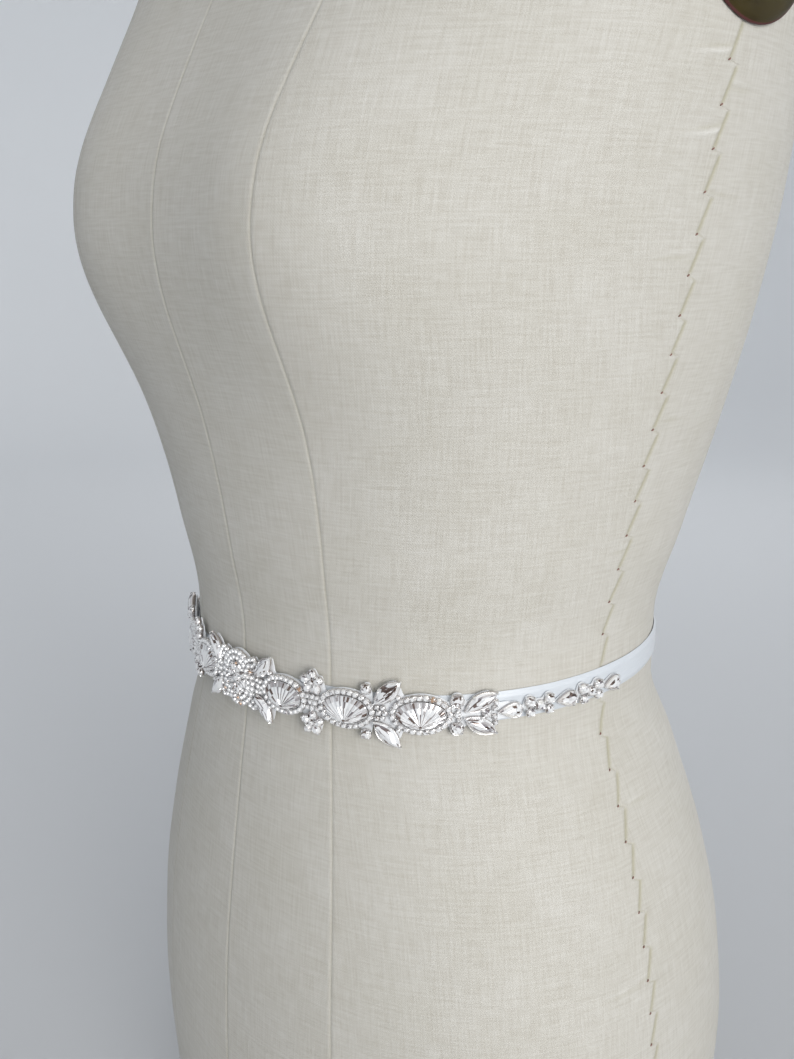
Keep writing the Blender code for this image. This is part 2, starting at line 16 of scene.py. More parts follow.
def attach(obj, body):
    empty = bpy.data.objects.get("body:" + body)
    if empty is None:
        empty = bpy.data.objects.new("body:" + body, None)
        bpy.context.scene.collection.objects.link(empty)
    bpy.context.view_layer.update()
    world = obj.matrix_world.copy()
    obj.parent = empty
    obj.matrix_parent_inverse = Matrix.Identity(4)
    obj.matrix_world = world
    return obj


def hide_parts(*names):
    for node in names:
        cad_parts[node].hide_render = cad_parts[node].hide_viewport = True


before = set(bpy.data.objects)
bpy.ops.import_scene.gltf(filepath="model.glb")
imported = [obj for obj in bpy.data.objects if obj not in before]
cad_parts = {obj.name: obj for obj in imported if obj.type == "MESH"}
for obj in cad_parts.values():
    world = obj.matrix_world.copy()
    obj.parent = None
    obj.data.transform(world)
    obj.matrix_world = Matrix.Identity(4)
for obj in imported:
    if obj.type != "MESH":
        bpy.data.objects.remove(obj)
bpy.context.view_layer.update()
ROOT = "root"
MM = 0.001

# --- the photograph's frame and the camera in it ---
PHOTO_HEIGHT = 1059
FOCAL_PIXELS = 1190
SENSOR = 36.0
CAMERA_PLACE = Vector((0.4403, -0.3841, 0.5067))
CAMERA_AIM = Vector((-0.0078, -0.0125, 0.3665))

# --- the form, as its solid has it ---
WAIST_HEIGHT = 0.320
WAIST_HALF_WIDTH = 0.1184
WAIST_HALF_DEPTH = 0.1057
WAIST_FULLNESS = 0.024
MIDDLE_SHIFT = -0.0031
HEM_ROUNDING = 0.006
NECK_ROUNDING = 0.003
TORSO_LEVELS = np.array((
    # height over the waist line, half width, depth to the front, depth to the back, fullness
    (-0.320, 0.1470, 0.1140, 0.1340, 0.030),
    (-0.262, 0.1535, 0.1200, 0.1440, 0.032),
    (-0.200, 0.1580, 0.1230, 0.1490, 0.034),
    (-0.150, 0.1550, 0.1215, 0.1440, 0.034),
    (-0.100, 0.1455, 0.1165, 0.1330, 0.032),
    (-0.050, 0.1300, 0.1100, 0.1175, 0.028),
    (-0.014, WAIST_HALF_WIDTH, WAIST_HALF_DEPTH, WAIST_HALF_DEPTH, WAIST_FULLNESS),
    (0.014, WAIST_HALF_WIDTH, WAIST_HALF_DEPTH, WAIST_HALF_DEPTH, WAIST_FULLNESS),
    (0.060, 0.1275, 0.1120, 0.1190, 0.030),
    (0.110, 0.1390, 0.1180, 0.1340, 0.036),
    (0.160, 0.1500, 0.1210, 0.1450, 0.042),
    (0.210, 0.1590, 0.1190, 0.1505, 0.046),
    (0.260, 0.1670, 0.1090, 0.1480, 0.046),
    (0.310, 0.1730, 0.0930, 0.1370, 0.044),
    (0.350, 0.1730, 0.0780, 0.1180, 0.040),
    (0.374, 0.1490, 0.0690, 0.1030, 0.034),
    (0.392, 0.1110, 0.0630, 0.0880, 0.020),
    (0.408, 0.0780, 0.0590, 0.0740, 0.008),
    (0.425, 0.0640, 0.0560, 0.0660, 0.0),
    (0.470, 0.0590, 0.0530, 0.0600, 0.0),
))
BUST_HEIGHT = 0.196
BUST_SPACING = 0.158
BUST_DEPTH = 0.031
BUST_REACH = 0.046
BUST_REACH_UP = 0.060
BUST_REACH_DOWN = 0.046
BUST_SIDE_FADE = 0.6
BRIDGE_DEPTH = 0.009

ARM_PLANE_X = 0.1600
ARM_PLANE_HEIGHT = 0.315
ARM_PLANE_LEAN = math.radians(8)
ARM_SLOPE, ARM_RISE = math.cos(ARM_PLANE_LEAN), math.sin(ARM_PLANE_LEAN)
ARM_PLATE_HEIGHT = 0.112
ARM_PLATE_DEPTH = 0.084
ARM_PLATE_CENTRE = (0.011, 0.004)

# --- the sash, as its solids have it ---
CLEARANCE = 0.0003
RIBBON_WIDTH = 0.0127
RIBBON_OUT = 0.0004
RIBBON_SPACE = 0.001
RIBBON_LAP = 0.030
LAP_RAMP = 0.030
LAP_LEVEL = 0.005
FRONT_DIP = 0.0046
BACKING_OUT = RIBBON_OUT + RIBBON_SPACE + CLEARANCE
BACKING_SPACE = 0.001
APPLIQUE_OUT = BACKING_OUT + BACKING_SPACE + CLEARANCE
APPLIQUE_DROP = 0.0012
BACKING_MARGIN = 0.0007
BACKING_HALF_HEIGHT = 0.0036
FAN_CENTRES = (0.0310, 0.0630, 0.0950)
FAN_LENGTH = 0.0200
FAN_WIDTH = 0.0118
FAN_HEIGHT = 0.0034
CHAIN_STONE = 0.0027
CHAIN_STONES = 23
CHAIN_HEIGHT = 0.0024
MEDALLION_HALF_LENGTH = 0.0126
MEDALLION_HALF_WIDTH = 0.0135
MEDALLION_HEIGHT = 0.0036
LEAVES = (
    # name, along and up of the inner end, along and up of the tip, width
    ("inner", 0.0137, 0.0042, 0.0236, 0.0150, 0.0066),
    ("middle", 0.0757, 0.0040, 0.0868, 0.0144, 0.0070),
    ("outer", 0.1125, 0.0016, 0.1255, 0.0088, 0.0068),
)
LEAF_HEIGHT = 0.0038
ROUNDS = (("middle", 0.0722, 0.0101, 0.0048), ("outer", 0.1095, 0.0062, 0.0060))
CROOK_ROUND = (0.1215, 0.0040)
ROUND_HEIGHT = 0.0030
FLOWER_ALONG = 0.0468
FLOWER_UP = 0.0092
FLOWER_RADIUS = 0.0058
FLOWER_PETALS = 5
FLOWER_REACH = 0.59 * FLOWER_RADIUS
FLOWER_PETAL = (0.38 * FLOWER_RADIUS, 0.33 * FLOWER_RADIUS)
FLOWER_HEIGHT = 0.0030
PEARS = (0.1313, 0.1573, 0.1833)
PEAR_LENGTH = 0.0100
PEAR_WIDTH = 0.0066
PEAR_HEIGHT = 0.0036
PEAR_SWELL = 1.3
LINK_CUPS = (
    # along from the link's middle, up, diameter
    (-0.0045, 0.0024, 0.0052),
    (-0.0043, -0.0023, 0.0044),
    (0.0000, 0.0002, 0.0050),
    (0.0043, 0.0023, 0.0050),
    (0.0043, -0.0023, 0.0044),
)
LINK_SHIFT = 0.0002

# --- what only the looks have ---
SEAM_GROOVE = 0.00030
SEAM_HALF_WIDTH = 0.00050
SIDE_SEAM = math.radians(92)
SIDE_SEAM_HALF_WIDTH = 0.0012
HAND_STITCH = 0.0153  # one long stitch of the hand-closed side seams
HAND_STITCH_START = 0.0053
HAND_STITCH_SLANT = 0.0044
STITCH_FADE = 0.14  # the share of a stitch in which its line fades at each end
SEAM_WELT = 0.00006
WELT_PLACE = 0.0018
WELT_HALF_WIDTH = 0.0012
SEAM_SHADE = 0.24
SIDE_SEAM_SHADE = 0.72
SEAM_TOP = 0.40
SEAM_FADE = 0.02
FRONT_SEAM = math.radians(26)  # the shaped seams run over the bust
SHOULDER_SPREAD = math.radians(19)  # and move apart by this much towards the shoulders
SHOULDER_START = 0.28
SHOULDER_REACH = 0.12
THREAD_PITCH = 0.0011
CUP_OUT = APPLIQUE_OUT - 0.0002  # the settings' feet sink a little into the backing's nap
GIRDLE = 0.42  # where a stone leaves its cup, as a share of the height
FAN_FLUTES = 20
SMALL_STONES = (
    # along, up, diameter of the loose rhinestones between the larger settings, on one side
    (0.0152, 0.0000, 0.0027),
    (0.0176, 0.0000, 0.0020),
    (0.0144, 0.0028, 0.0024),
    (0.0168, 0.0025, 0.0021),
    (0.0227, 0.0079, 0.0018),
    (0.0115, 0.0084, 0.0023),
    (0.0135, 0.0099, 0.0021),
    (0.0093, 0.0109, 0.0023),
    (0.0118, 0.0115, 0.0021),
    (0.0131, 0.0067, 0.0018),
    (0.0458, 0.0000, 0.0025),
    (0.0484, 0.0000, 0.0025),
    (0.0447, 0.0025, 0.0021),
    (0.0471, 0.0026, 0.0024),
    (0.0495, 0.0025, 0.0021),
    (0.0776, 0.0000, 0.0024),
    (0.0802, 0.0000, 0.0024),
    (0.0769, 0.0025, 0.0019),
    (0.0793, 0.0023, 0.0020),
    (0.0857, 0.0072, 0.0018),
    (0.1097, 0.0000, 0.0028),
    (0.1102, 0.0023, 0.0017),
    (0.1248, 0.0019, 0.0023),
    (0.1252, 0.0046, 0.0020),
)
BACKING_TRIM = 0.0006  # the cut edge of the felt lies this far inside its solid's

RING_POINTS = 96  # round an arm plate, the stage and each outline that the felt follows
WEAVE = "weave"  # attribute: a cloth's own coordinates, in metres
SHADE = "shade"  # attribute: a facet's painted reflection or a metal face's painted shade, how deep a point lies in a linen seam (with painted shade and highlights on the creases), or how far out a point of the stage lies, where it is painted paler


# --- small tools ---
def smooth_step(part):
    part = np.clip(part, 0.0, 1.0)
    return part * part * (3 - 2 * part)


def bell(distance, width):
    return np.exp(-((distance / width) ** 2))


def add_object(name, data):
    made = bpy.data.objects.new(name, data)
    bpy.context.scene.collection.objects.link(made)
    return made


def mesh_object(name, points, faces, materials, slots=None, smooth=None, sharp=180):
    """A mesh with a material and a smooth flag for each face, creased where it bends by more degrees."""
    mesh = bpy.data.meshes.new(name)
    mesh.from_pydata([tuple(point) for point in points], [], faces)
    for material in materials:
        mesh.materials.append(material)
    mesh.polygons.foreach_set("material_index", slots or [0] * len(faces))
    mesh.polygons.foreach_set("use_smooth", smooth or [True] * len(faces))
    mesh.update()
    if sharp < 180:
        mesh.set_sharp_from_angle(angle=math.radians(sharp))
    return add_object(name, mesh)


def set_attribute(made, name, domain, values):
    kind, field = ("FLOAT_VECTOR", "vector") if name == WEAVE else ("FLOAT", "value")
    attribute = made.data.attributes.new(name, kind, domain)
    attribute.data.foreach_set(field, np.asarray(values, np.float32).ravel())


def band(low, high, count, turned=False):
    """Quads between two rings of points, given the number of each ring's first point."""
    pairs = [(i, (i + 1) % count) for i in range(count)]
    if turned:
        return [(low + i, high + i, high + after, low + after) for i, after in pairs]
    return [(low + i, low + after, high + after, high + i) for i, after in pairs]


def body_faces(levels, count, turned=False, first=0):
    """The faces of a closed body: bands from ring to ring, and a flat face at each end."""
    last = first + (levels - 1) * count
    faces = [face for low in range(first, last, count) for face in band(low, low + count, count, turned)]
    bottom, top = tuple(range(first, first + count)), tuple(range(last, last + count))
    return faces + ([bottom, top[::-1]] if turned else [bottom[::-1], top])


def settle(made, slot, *nodes):
    """The piece rides with the form and stands for the solids of these nodes."""
    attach(made, ROOT)
    if nodes:
        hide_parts(*nodes)


# --- the form's surface and the line of the waist ---
def level_slopes():
    """The slope of each column at each row of the table, level where the values turn."""
    steps = np.diff(TORSO_LEVELS[:, 0])[:, None]
    rises = np.diff(TORSO_LEVELS[:, 1:], axis=0) / steps
    below, above = rises[:-1], rises[1:]
    same_way = below * above > 0
    inner = np.where(same_way, 2 * below * above / np.where(same_way, below + above, 1.0), 0.0)
    return np.pad(inner, ((1, 1), (0, 0)))


def sections(heights):
    """Half width, depth to the front and to the back, and fullness at each height."""
    levels = TORSO_LEVELS[:, 0]
    heights = np.clip(heights, levels[0], levels[-1])
    index = np.clip(np.searchsorted(levels, heights, side="right") - 1, 0, len(levels) - 2)
    low, high = TORSO_LEVELS[index], TORSO_LEVELS[index + 1]
    gap = high[..., :1] - low[..., :1]
    part = (heights[..., None] - low[..., :1]) / gap
    step = part**2 * (3 - 2 * part)
    values = low[..., 1:] * (1 - step) + high[..., 1:] * step
    values += SLOPES[index] * gap * part * (1 - part) ** 2
    values -= SLOPES[index + 1] * gap * part**2 * (1 - part)
    return np.moveaxis(values, -1, 0)


def bust_fullness(across, heights):
    rise = heights - BUST_HEIGHT
    reach = np.where(rise > 0, BUST_REACH_UP, BUST_REACH_DOWN)
    level = np.exp(-((rise / reach) ** 2) / 2)
    offsets = [(across - side * BUST_SPACING / 2) / BUST_REACH for side in (-1, 1)]
    sides = sum(np.exp(-(offset**2) / 2) for offset in offsets)
    return level * (BUST_DEPTH * sides + BRIDGE_DEPTH * bell(across, BUST_REACH))


def torso_points(angles, heights):
    """Points of the form. The angle is 0 at the centre front and grows towards the left arm."""
    angles, heights = np.broadcast_arrays(angles, heights)
    half_width, front, back, fullness = sections(heights)
    sine, cosine = np.sin(angles), np.cos(angles)
    corners = 1 + fullness * np.sin(2 * angles) ** 2
    across = half_width * sine * corners
    forward = np.where(cosine > 0, front, back) * cosine * corners
    forward = forward + bust_fullness(across, heights) * smooth_step(cosine / BUST_SIDE_FADE)
    return np.stack((across, MIDDLE_SHIFT - forward, WAIST_HEIGHT + heights), -1)


SLOPES = level_slopes()
WAIST_STEPS = 1440
WAIST_ANGLES = np.linspace(-math.pi, math.pi, WAIST_STEPS + 1)
WAIST_LINE = torso_points(WAIST_ANGLES, 0.0)
WAIST_RUNS = np.append(0.0, np.cumsum(np.linalg.norm(np.diff(WAIST_LINE, axis=0), axis=1)))
GIRTH = WAIST_RUNS[-1]


def worn(points):
    """The places on the form of points of the flat sash."""
    along, up, out = np.asarray(points, float).T
    angles = np.interp((along + GIRTH / 2) % GIRTH, WAIST_RUNS, WAIST_ANGLES)
    step = math.pi / WAIST_STEPS
    way = torso_points(angles + step, 0.0) - torso_points(angles - step, 0.0)
    normal = np.stack((way[:, 1], -way[:, 0], np.zeros(len(way))), -1)
    normal /= np.linalg.norm(normal, axis=1)[:, None]
    places = torso_points(angles, 0.0) + normal * out[:, None]
    places[:, 2] += up - FRONT_DIP * np.cos(angles)
    return places


# --- materials ---
def new_material(name, colour, roughness, others=None):
    """A material, its nodes and its shader. The others are more inputs of the shader."""
    material = bpy.data.materials.new(name)
    material.use_nodes = True
    shader = material.node_tree.nodes["Principled BSDF"]
    inputs = {"Base Color": (*colour, 1.0), "Roughness": roughness, **(others or {})}
    for key, value in inputs.items():
        shader.inputs[key].default_value = value
    return material, material.node_tree, shader


def node(tree, kind, inputs, **settings):
    """A node with its settings, and with its inputs linked to sockets or set to values."""
    made = tree.nodes.new(kind)
    for name, value in settings.items():
        setattr(made, name, value)
    for name, value in inputs.items():
        if isinstance(value, bpy.types.NodeSocket):
            tree.links.new(value, made.inputs[name])
        else:
            made.inputs[name].default_value = value
    return made


def weave_place(tree):
    return node(tree, "ShaderNodeAttribute", {}, attribute_name=WEAVE).outputs["Vector"]


def shade_value(tree):
    return node(tree, "ShaderNodeAttribute", {}, attribute_name=SHADE).outputs["Fac"]


def object_place(tree):
    return node(tree, "ShaderNodeTexCoord", {}).outputs["Object"]


def noise(tree, source, scale, detail=2.0, roughness=0.5):
    """Noise with its own scale along each axis: about how many blotches a metre holds."""
    place = node(tree, "ShaderNodeVectorMath", {0: source, 1: scale}, operation="MULTIPLY").outputs[0]
    inputs = {"Vector": place, "Scale": 1.0, "Detail": detail, "Roughness": roughness}
    return node(tree, "ShaderNodeTexNoise", inputs).outputs["Fac"]


def math_node(tree, operation, first, second=0.0):
    return node(tree, "ShaderNodeMath", {0: first, 1: second}, operation=operation).outputs[0]


def scaled(tree, source, gain, start):
    """The source times the gain, from a start that is a number or a socket."""
    return math_node(tree, "ADD", math_node(tree, "MULTIPLY", source, gain), start)


def ramp(tree, source, stops):
    made = node(tree, "ShaderNodeValToRGB", {"Fac": source})
    elements = made.color_ramp.elements
    while len(elements) < len(stops):
        elements.new(0.5)
    for element, (place, colour) in zip(elements, stops):
        element.position = place
        element.color = (*colour, 1.0)
    return made.outputs["Color"]


def noise_stops(dark, light):
    """The stops of a ramp over noise, which seldom leaves the range between them."""
    return ((0.3, dark), (0.7, light))


def paint(tree, shader, source, stops):
    """The base colour follows the source from stop to stop."""
    tree.links.new(ramp(tree, source, stops), shader.inputs["Base Color"])


def mixed(tree, share, first, second, kind="MIX"):
    """Two colours or sockets, mixed by a share."""
    inputs = {0: share}
    for key, value in ((6, first), (7, second)):
        inputs[key] = (*value, 1.0) if isinstance(value, tuple) else value
    return node(tree, "ShaderNodeMix", inputs, data_type="RGBA", blend_type=kind).outputs[2]


def bump(tree, shader, height, distance, strength=1.0):
    made = node(tree, "ShaderNodeBump", {"Height": height, "Distance": distance, "Strength": strength})
    tree.links.new(made.outputs["Normal"], shader.inputs["Normal"])


def threads(tree, place, pitch):
    """The crowns of a plain weave's threads, from 0 between them to 1."""
    split = node(tree, "ShaderNodeSeparateXYZ", {0: place})
    turn = 2 * math.pi / pitch
    waves = []
    for axis in (0, 1):
        waves.append(math_node(tree, "SINE", math_node(tree, "MULTIPLY", split.outputs[axis], turn)))
    return scaled(tree, math_node(tree, "MULTIPLY", *waves), 0.5, 0.5)


def linen_material():
    """Coarse plain-woven linen with slubs, a little darker in its seams, with painted shade in its creases'
    troughs and painted highlights on their crests.
    """
    others = {"Sheen Weight": 0.15, "Specular IOR Level": 0.25}
    material, tree, shader = new_material("linen", (0.60, 0.57, 0.51), 0.92, others)
    place = weave_place(tree)
    seam = shade_value(tree)
    warp = noise(tree, place, (1000, 62, 1), 3.0, 0.6)
    weft = noise(tree, place, (62, 900, 1), 3.0, 0.6)
    slubs = mixed(tree, 0.5, warp, weft)
    stops = ((0.36, (0.504, 0.480, 0.429)), (0.50, (0.553, 0.533, 0.486)), (0.64, (0.597, 0.580, 0.537)))
    cloth = ramp(tree, slubs, stops)
    blotches = noise(tree, place, (24, 24, 1), 4.0)
    tone = ramp(tree, blotches, noise_stops((0.950, 0.945, 0.925), (1.0, 1.0, 1.0)))
    cloth = mixed(tree, 1.0, cloth, tone, "MULTIPLY")
    # The shade attribute darkens the seams and paints shade into the creases' troughs; below zero, on the
    # creases' crests, it paints a highlight.
    colour = mixed(tree, seam, cloth, (0.37, 0.345, 0.235))
    colour = mixed(tree, math_node(tree, "MULTIPLY", seam, -1.0), colour, (0.80, 0.79, 0.76))
    tree.links.new(colour, shader.inputs["Base Color"])
    height = scaled(tree, threads(tree, place, THREAD_PITCH), 0.28, slubs)
    bump(tree, shader, height, 0.00018, 0.8)
    return material


def satin_material():
    """Smooth double-faced satin: long floats along the ribbon, over fine cross threads."""
    others = {"Sheen Weight": 0.25, "Anisotropic": 0.5}
    material, tree, shader = new_material("satin", (0.80, 0.84, 0.89), 0.34, others)
    floats = noise(tree, weave_place(tree), (160, 4200, 1))
    paint(tree, shader, floats, noise_stops((0.59, 0.627, 0.672), (0.655, 0.687, 0.724)))
    bump(tree, shader, floats, 0.00006, 0.6)
    return material


def felt_material():
    material, tree, shader = new_material("backing", (0.84, 0.86, 0.88), 0.9, {"Sheen Weight": 0.4})
    nap = noise(tree, weave_place(tree), (2200, 2200, 2200), 4.0, 0.7)
    paint(tree, shader, nap, noise_stops((0.74, 0.76, 0.79), (0.88, 0.90, 0.92)))
    bump(tree, shader, nap, 0.00015)
    return material


def silver_material():
    """Silver plating, bright on edges and claws, with painted shade that darkens it down between the
    settings.
    """
    material, tree, shader = new_material("silver", (0.85, 0.85, 0.86), 0.22, {"Metallic": 0.8})
    # Painted shade: low shades turn the silver dark brown on plates, cup feet and bezel feet; high ones
    # leave rims and claws near white.
    stops = ((0.0, (0.24, 0.185, 0.155)), (0.5, (0.68, 0.635, 0.615)), (1.0, (0.97, 0.97, 0.97)))
    paint(tree, shader, shade_value(tree), stops)
    wear = noise(tree, object_place(tree), (900, 900, 900), 3.0)
    tree.links.new(scaled(tree, wear, 0.22, 0.12), shader.inputs["Roughness"])
    return material


def crystal_material():
    """Foil-backed cut glass, whose sparkle is painted: each facet's colour is a painted reflection, from
    near black to white, with a few painted amber glints.
    """
    others = {"Metallic": 0.4, "Coat Weight": 1.0, "Coat Roughness": 0.03}
    material, tree, shader = new_material("crystal", (0.9, 0.92, 0.95), 0.08, others)
    # Painted reflections: the facets' shades run from dark brown through slate and grey to white, and the
    # top stop is a painted amber glint.
    stops = (
        (0.00, (0.060, 0.034, 0.024)),
        (0.12, (0.175, 0.118, 0.095)),
        (0.20, (0.235, 0.215, 0.235)),
        (0.32, (0.580, 0.540, 0.530)),
        (0.55, (0.890, 0.890, 0.895)),
        (0.80, (0.995, 0.993, 0.993)),
        (0.94, (0.995, 0.993, 0.993)),
        (0.97, (0.500, 0.330, 0.220)),
    )
    paint(tree, shader, shade_value(tree), stops)
    return material


def plate_material():
    others = {"Specular IOR Level": 0.18}
    material, tree, shader = new_material("arm_plate", (0.085, 0.072, 0.042), 0.42, others)
    place = object_place(tree)
    cloud = noise(tree, place, (30, 30, 30), 4.0, 0.6)
    paint(tree, shader, cloud, noise_stops((0.022, 0.016, 0.005), (0.052, 0.039, 0.011)))
    grain = noise(tree, place, (900, 120, 120), 3.0)
    tree.links.new(scaled(tree, grain, 0.25, 0.28), shader.inputs["Roughness"])
    bump(tree, shader, grain, 0.0001, 0.3)
    return material


def thread_material(name, colour):
    material, tree, shader = new_material(name, colour, 0.7)
    twist = noise(tree, object_place(tree), (3000, 3000, 3000))
    paint(tree, shader, twist, noise_stops(tuple(part * 0.7 for part in colour), colour))
    bump(tree, shader, twist, 0.0001)
    return material


# --- the linen-covered form ---
def stitch_part(heights):
    """How far up its long stitch of the side seam each height is, from 0 to 1."""
    return (heights - HAND_STITCH_START) / HAND_STITCH % 1.0


def seam_angles(heights):
    """The eight seams of the cover from the centre front round, at each height."""
    shaped = FRONT_SEAM + SHOULDER_SPREAD * smooth_step((heights - SHOULDER_START) / SHOULDER_REACH)
    side = SIDE_SEAM + (stitch_part(heights) - 0.5) * HAND_STITCH_SLANT / sections(heights)[1]
    straight = np.zeros_like(heights)
    half = np.stack((straight, shaped, side, math.pi - shaped, straight + math.pi), -1)
    return np.concatenate((half, 2 * math.pi - half[:, -2::-1]), axis=1)


PANELS = 8
SIDE_SEAMS = (2, 6)
EDGE_COLUMNS = np.array((0.0, 0.45, 1.1, 2.0, 3.4)) * MM
INNER_COLUMNS = 14
ARM_RIM_SOFTNESS = 0.0012
HEM_TURNS = (1.57, 1.27, 0.97, 0.67, 0.37)
NECK_TURNS = (0.4, 0.8, 1.2, 1.57)
TORSO_ROWS = 470
CHEST = (0.195, 0.265)  # the rows lie closer here, where most of the creases are
ROW_SHARES = (0.0, 0.62, 0.80, 1.0)
CREASES = (
    # seam it starts from (2 and 6 are the sides), height over the waist, reach round the form (towards the
    # front if positive), how much it drops on the way, depth (or height, if negative)
    (2, 0.2544, 0.026, 0.0020, -0.00034),
    (2, 0.2423, -0.018, 0.0012, 0.00024),
    (2, 0.2276, 0.022, 0.0030, -0.00046),
    (2, 0.2060, -0.026, 0.0024, 0.00022),
    (2, 0.1800, 0.028, -0.0020, 0.00030),
    (2, 0.1180, -0.026, 0.0020, 0.00026),
    (2, 0.0600, 0.022, -0.0020, 0.00024),
    (2, -0.0550, -0.026, 0.0025, 0.00026),
    (2, -0.1300, 0.030, 0.0025, 0.00026),
    (6, 0.2470, 0.026, 0.0024, -0.00034),
    (6, 0.2250, -0.022, 0.0020, 0.00026),
    (6, 0.1900, 0.026, -0.0020, -0.00030),
    (6, 0.1000, -0.024, 0.0025, 0.00026),
    (6, -0.0700, 0.028, 0.0025, 0.00026),
)
CREASE_HALF_WIDTH = 0.0009
CREASE_START = 0.12  # the shares of its reach in which a crease rises and fades
CREASE_END = 0.7
CREASE_ECHO = 0.6
CREASE_SHADE = 1000  # painted light: how much paler a crease's crest is, or darker its trough, for each metre that it stands up or sinks


def crease_relief(heights, runs, seam_runs):
    """Soft troughs and ridges, each with a lower one above it, that start at the side seams."""
    relief = np.zeros_like(runs)
    for seam, start, reach, drop, depth in CREASES:
        toward = -1 if seam == 2 else 1
        way = np.clip((runs - seam_runs[:, seam][:, None]) * toward / reach, 0, 1)
        inside = smooth_step(way / CREASE_START) * smooth_step((1 - way) / CREASE_END)
        level = heights[:, None] - (start - drop * way * (2 - way))
        relief -= depth * inside * bell(level, CREASE_HALF_WIDTH)
        relief += depth * CREASE_ECHO * inside * bell(level - 2 * CREASE_HALF_WIDTH, CREASE_HALF_WIDTH)
    return relief


def cover_grid():
    """Angles of the cover's points at each height, and for each how far the nearest seam is and which."""
    low, high = TORSO_LEVELS[0, 0], TORSO_LEVELS[-1, 0]
    levels = (low + HEM_ROUNDING, *CHEST, high - NECK_ROUNDING)
    heights = np.interp(np.linspace(0, 1, TORSO_ROWS), ROW_SHARES, levels)
    seams = seam_angles(heights)
    half_width = sections(heights)[0]
    columns, offsets, nearest = [], [], []
    for panel in range(PANELS):
        start, end = seams[:, panel], seams[:, panel + 1]
        width = (end - start) * half_width
        near = EDGE_COLUMNS[None, :] / width[:, None]
        even = np.linspace(0, 1, INNER_COLUMNS + 2)[1:-1]
        closer = (even + (1 - np.cos(math.pi * even)) / 2) / 2
        inner = near[:, -1:] + (1 - 2 * near[:, -1:]) * closer
        share = np.concatenate((near, inner, 1 - near[:, :0:-1]), axis=1)
        columns.append(start[:, None] + (end - start)[:, None] * share)
        offsets.append(np.minimum(share, 1 - share) * width[:, None])
        nearest += [panel + round(float(part)) for part in share[0]]
    return heights, np.concatenate(columns, axis=1), np.concatenate(offsets, axis=1), np.array(nearest)


def flatten_arms(points):
    """Presses the cover to the flat oval of each armhole, round whose rim it turns softly."""
    for side in (-1, 1):
        beyond = (points[..., 0] * side - ARM_PLANE_X) * ARM_SLOPE
        beyond = beyond + (points[..., 2] - WAIST_HEIGHT - ARM_PLANE_HEIGHT) * ARM_RISE
        pressed = 0.5 * (beyond + np.sqrt(beyond**2 + ARM_RIM_SOFTNESS**2))
        points[..., 0] -= side * pressed * ARM_SLOPE
        points[..., 2] -= pressed * ARM_RISE


def rounded_rim(ring, end, rounding, turns):
    """Rings that carry the cover round an edge, from the given ring's outline to a flat end."""
    centre = np.array((0.0, MIDDLE_SHIFT, 0.0))
    flat = (ring - centre) * (1, 1, 0)
    reach = np.linalg.norm(flat, axis=1)[:, None]
    towards = 1 if end > 0 else -1
    found = []
    for turn in turns:
        rim = centre + flat * (1 - rounding * (1 - math.cos(turn)) / reach)
        rim[:, 2] = WAIST_HEIGHT + end - towards * rounding * (1 - math.sin(turn))
        found.append(rim)
    return found


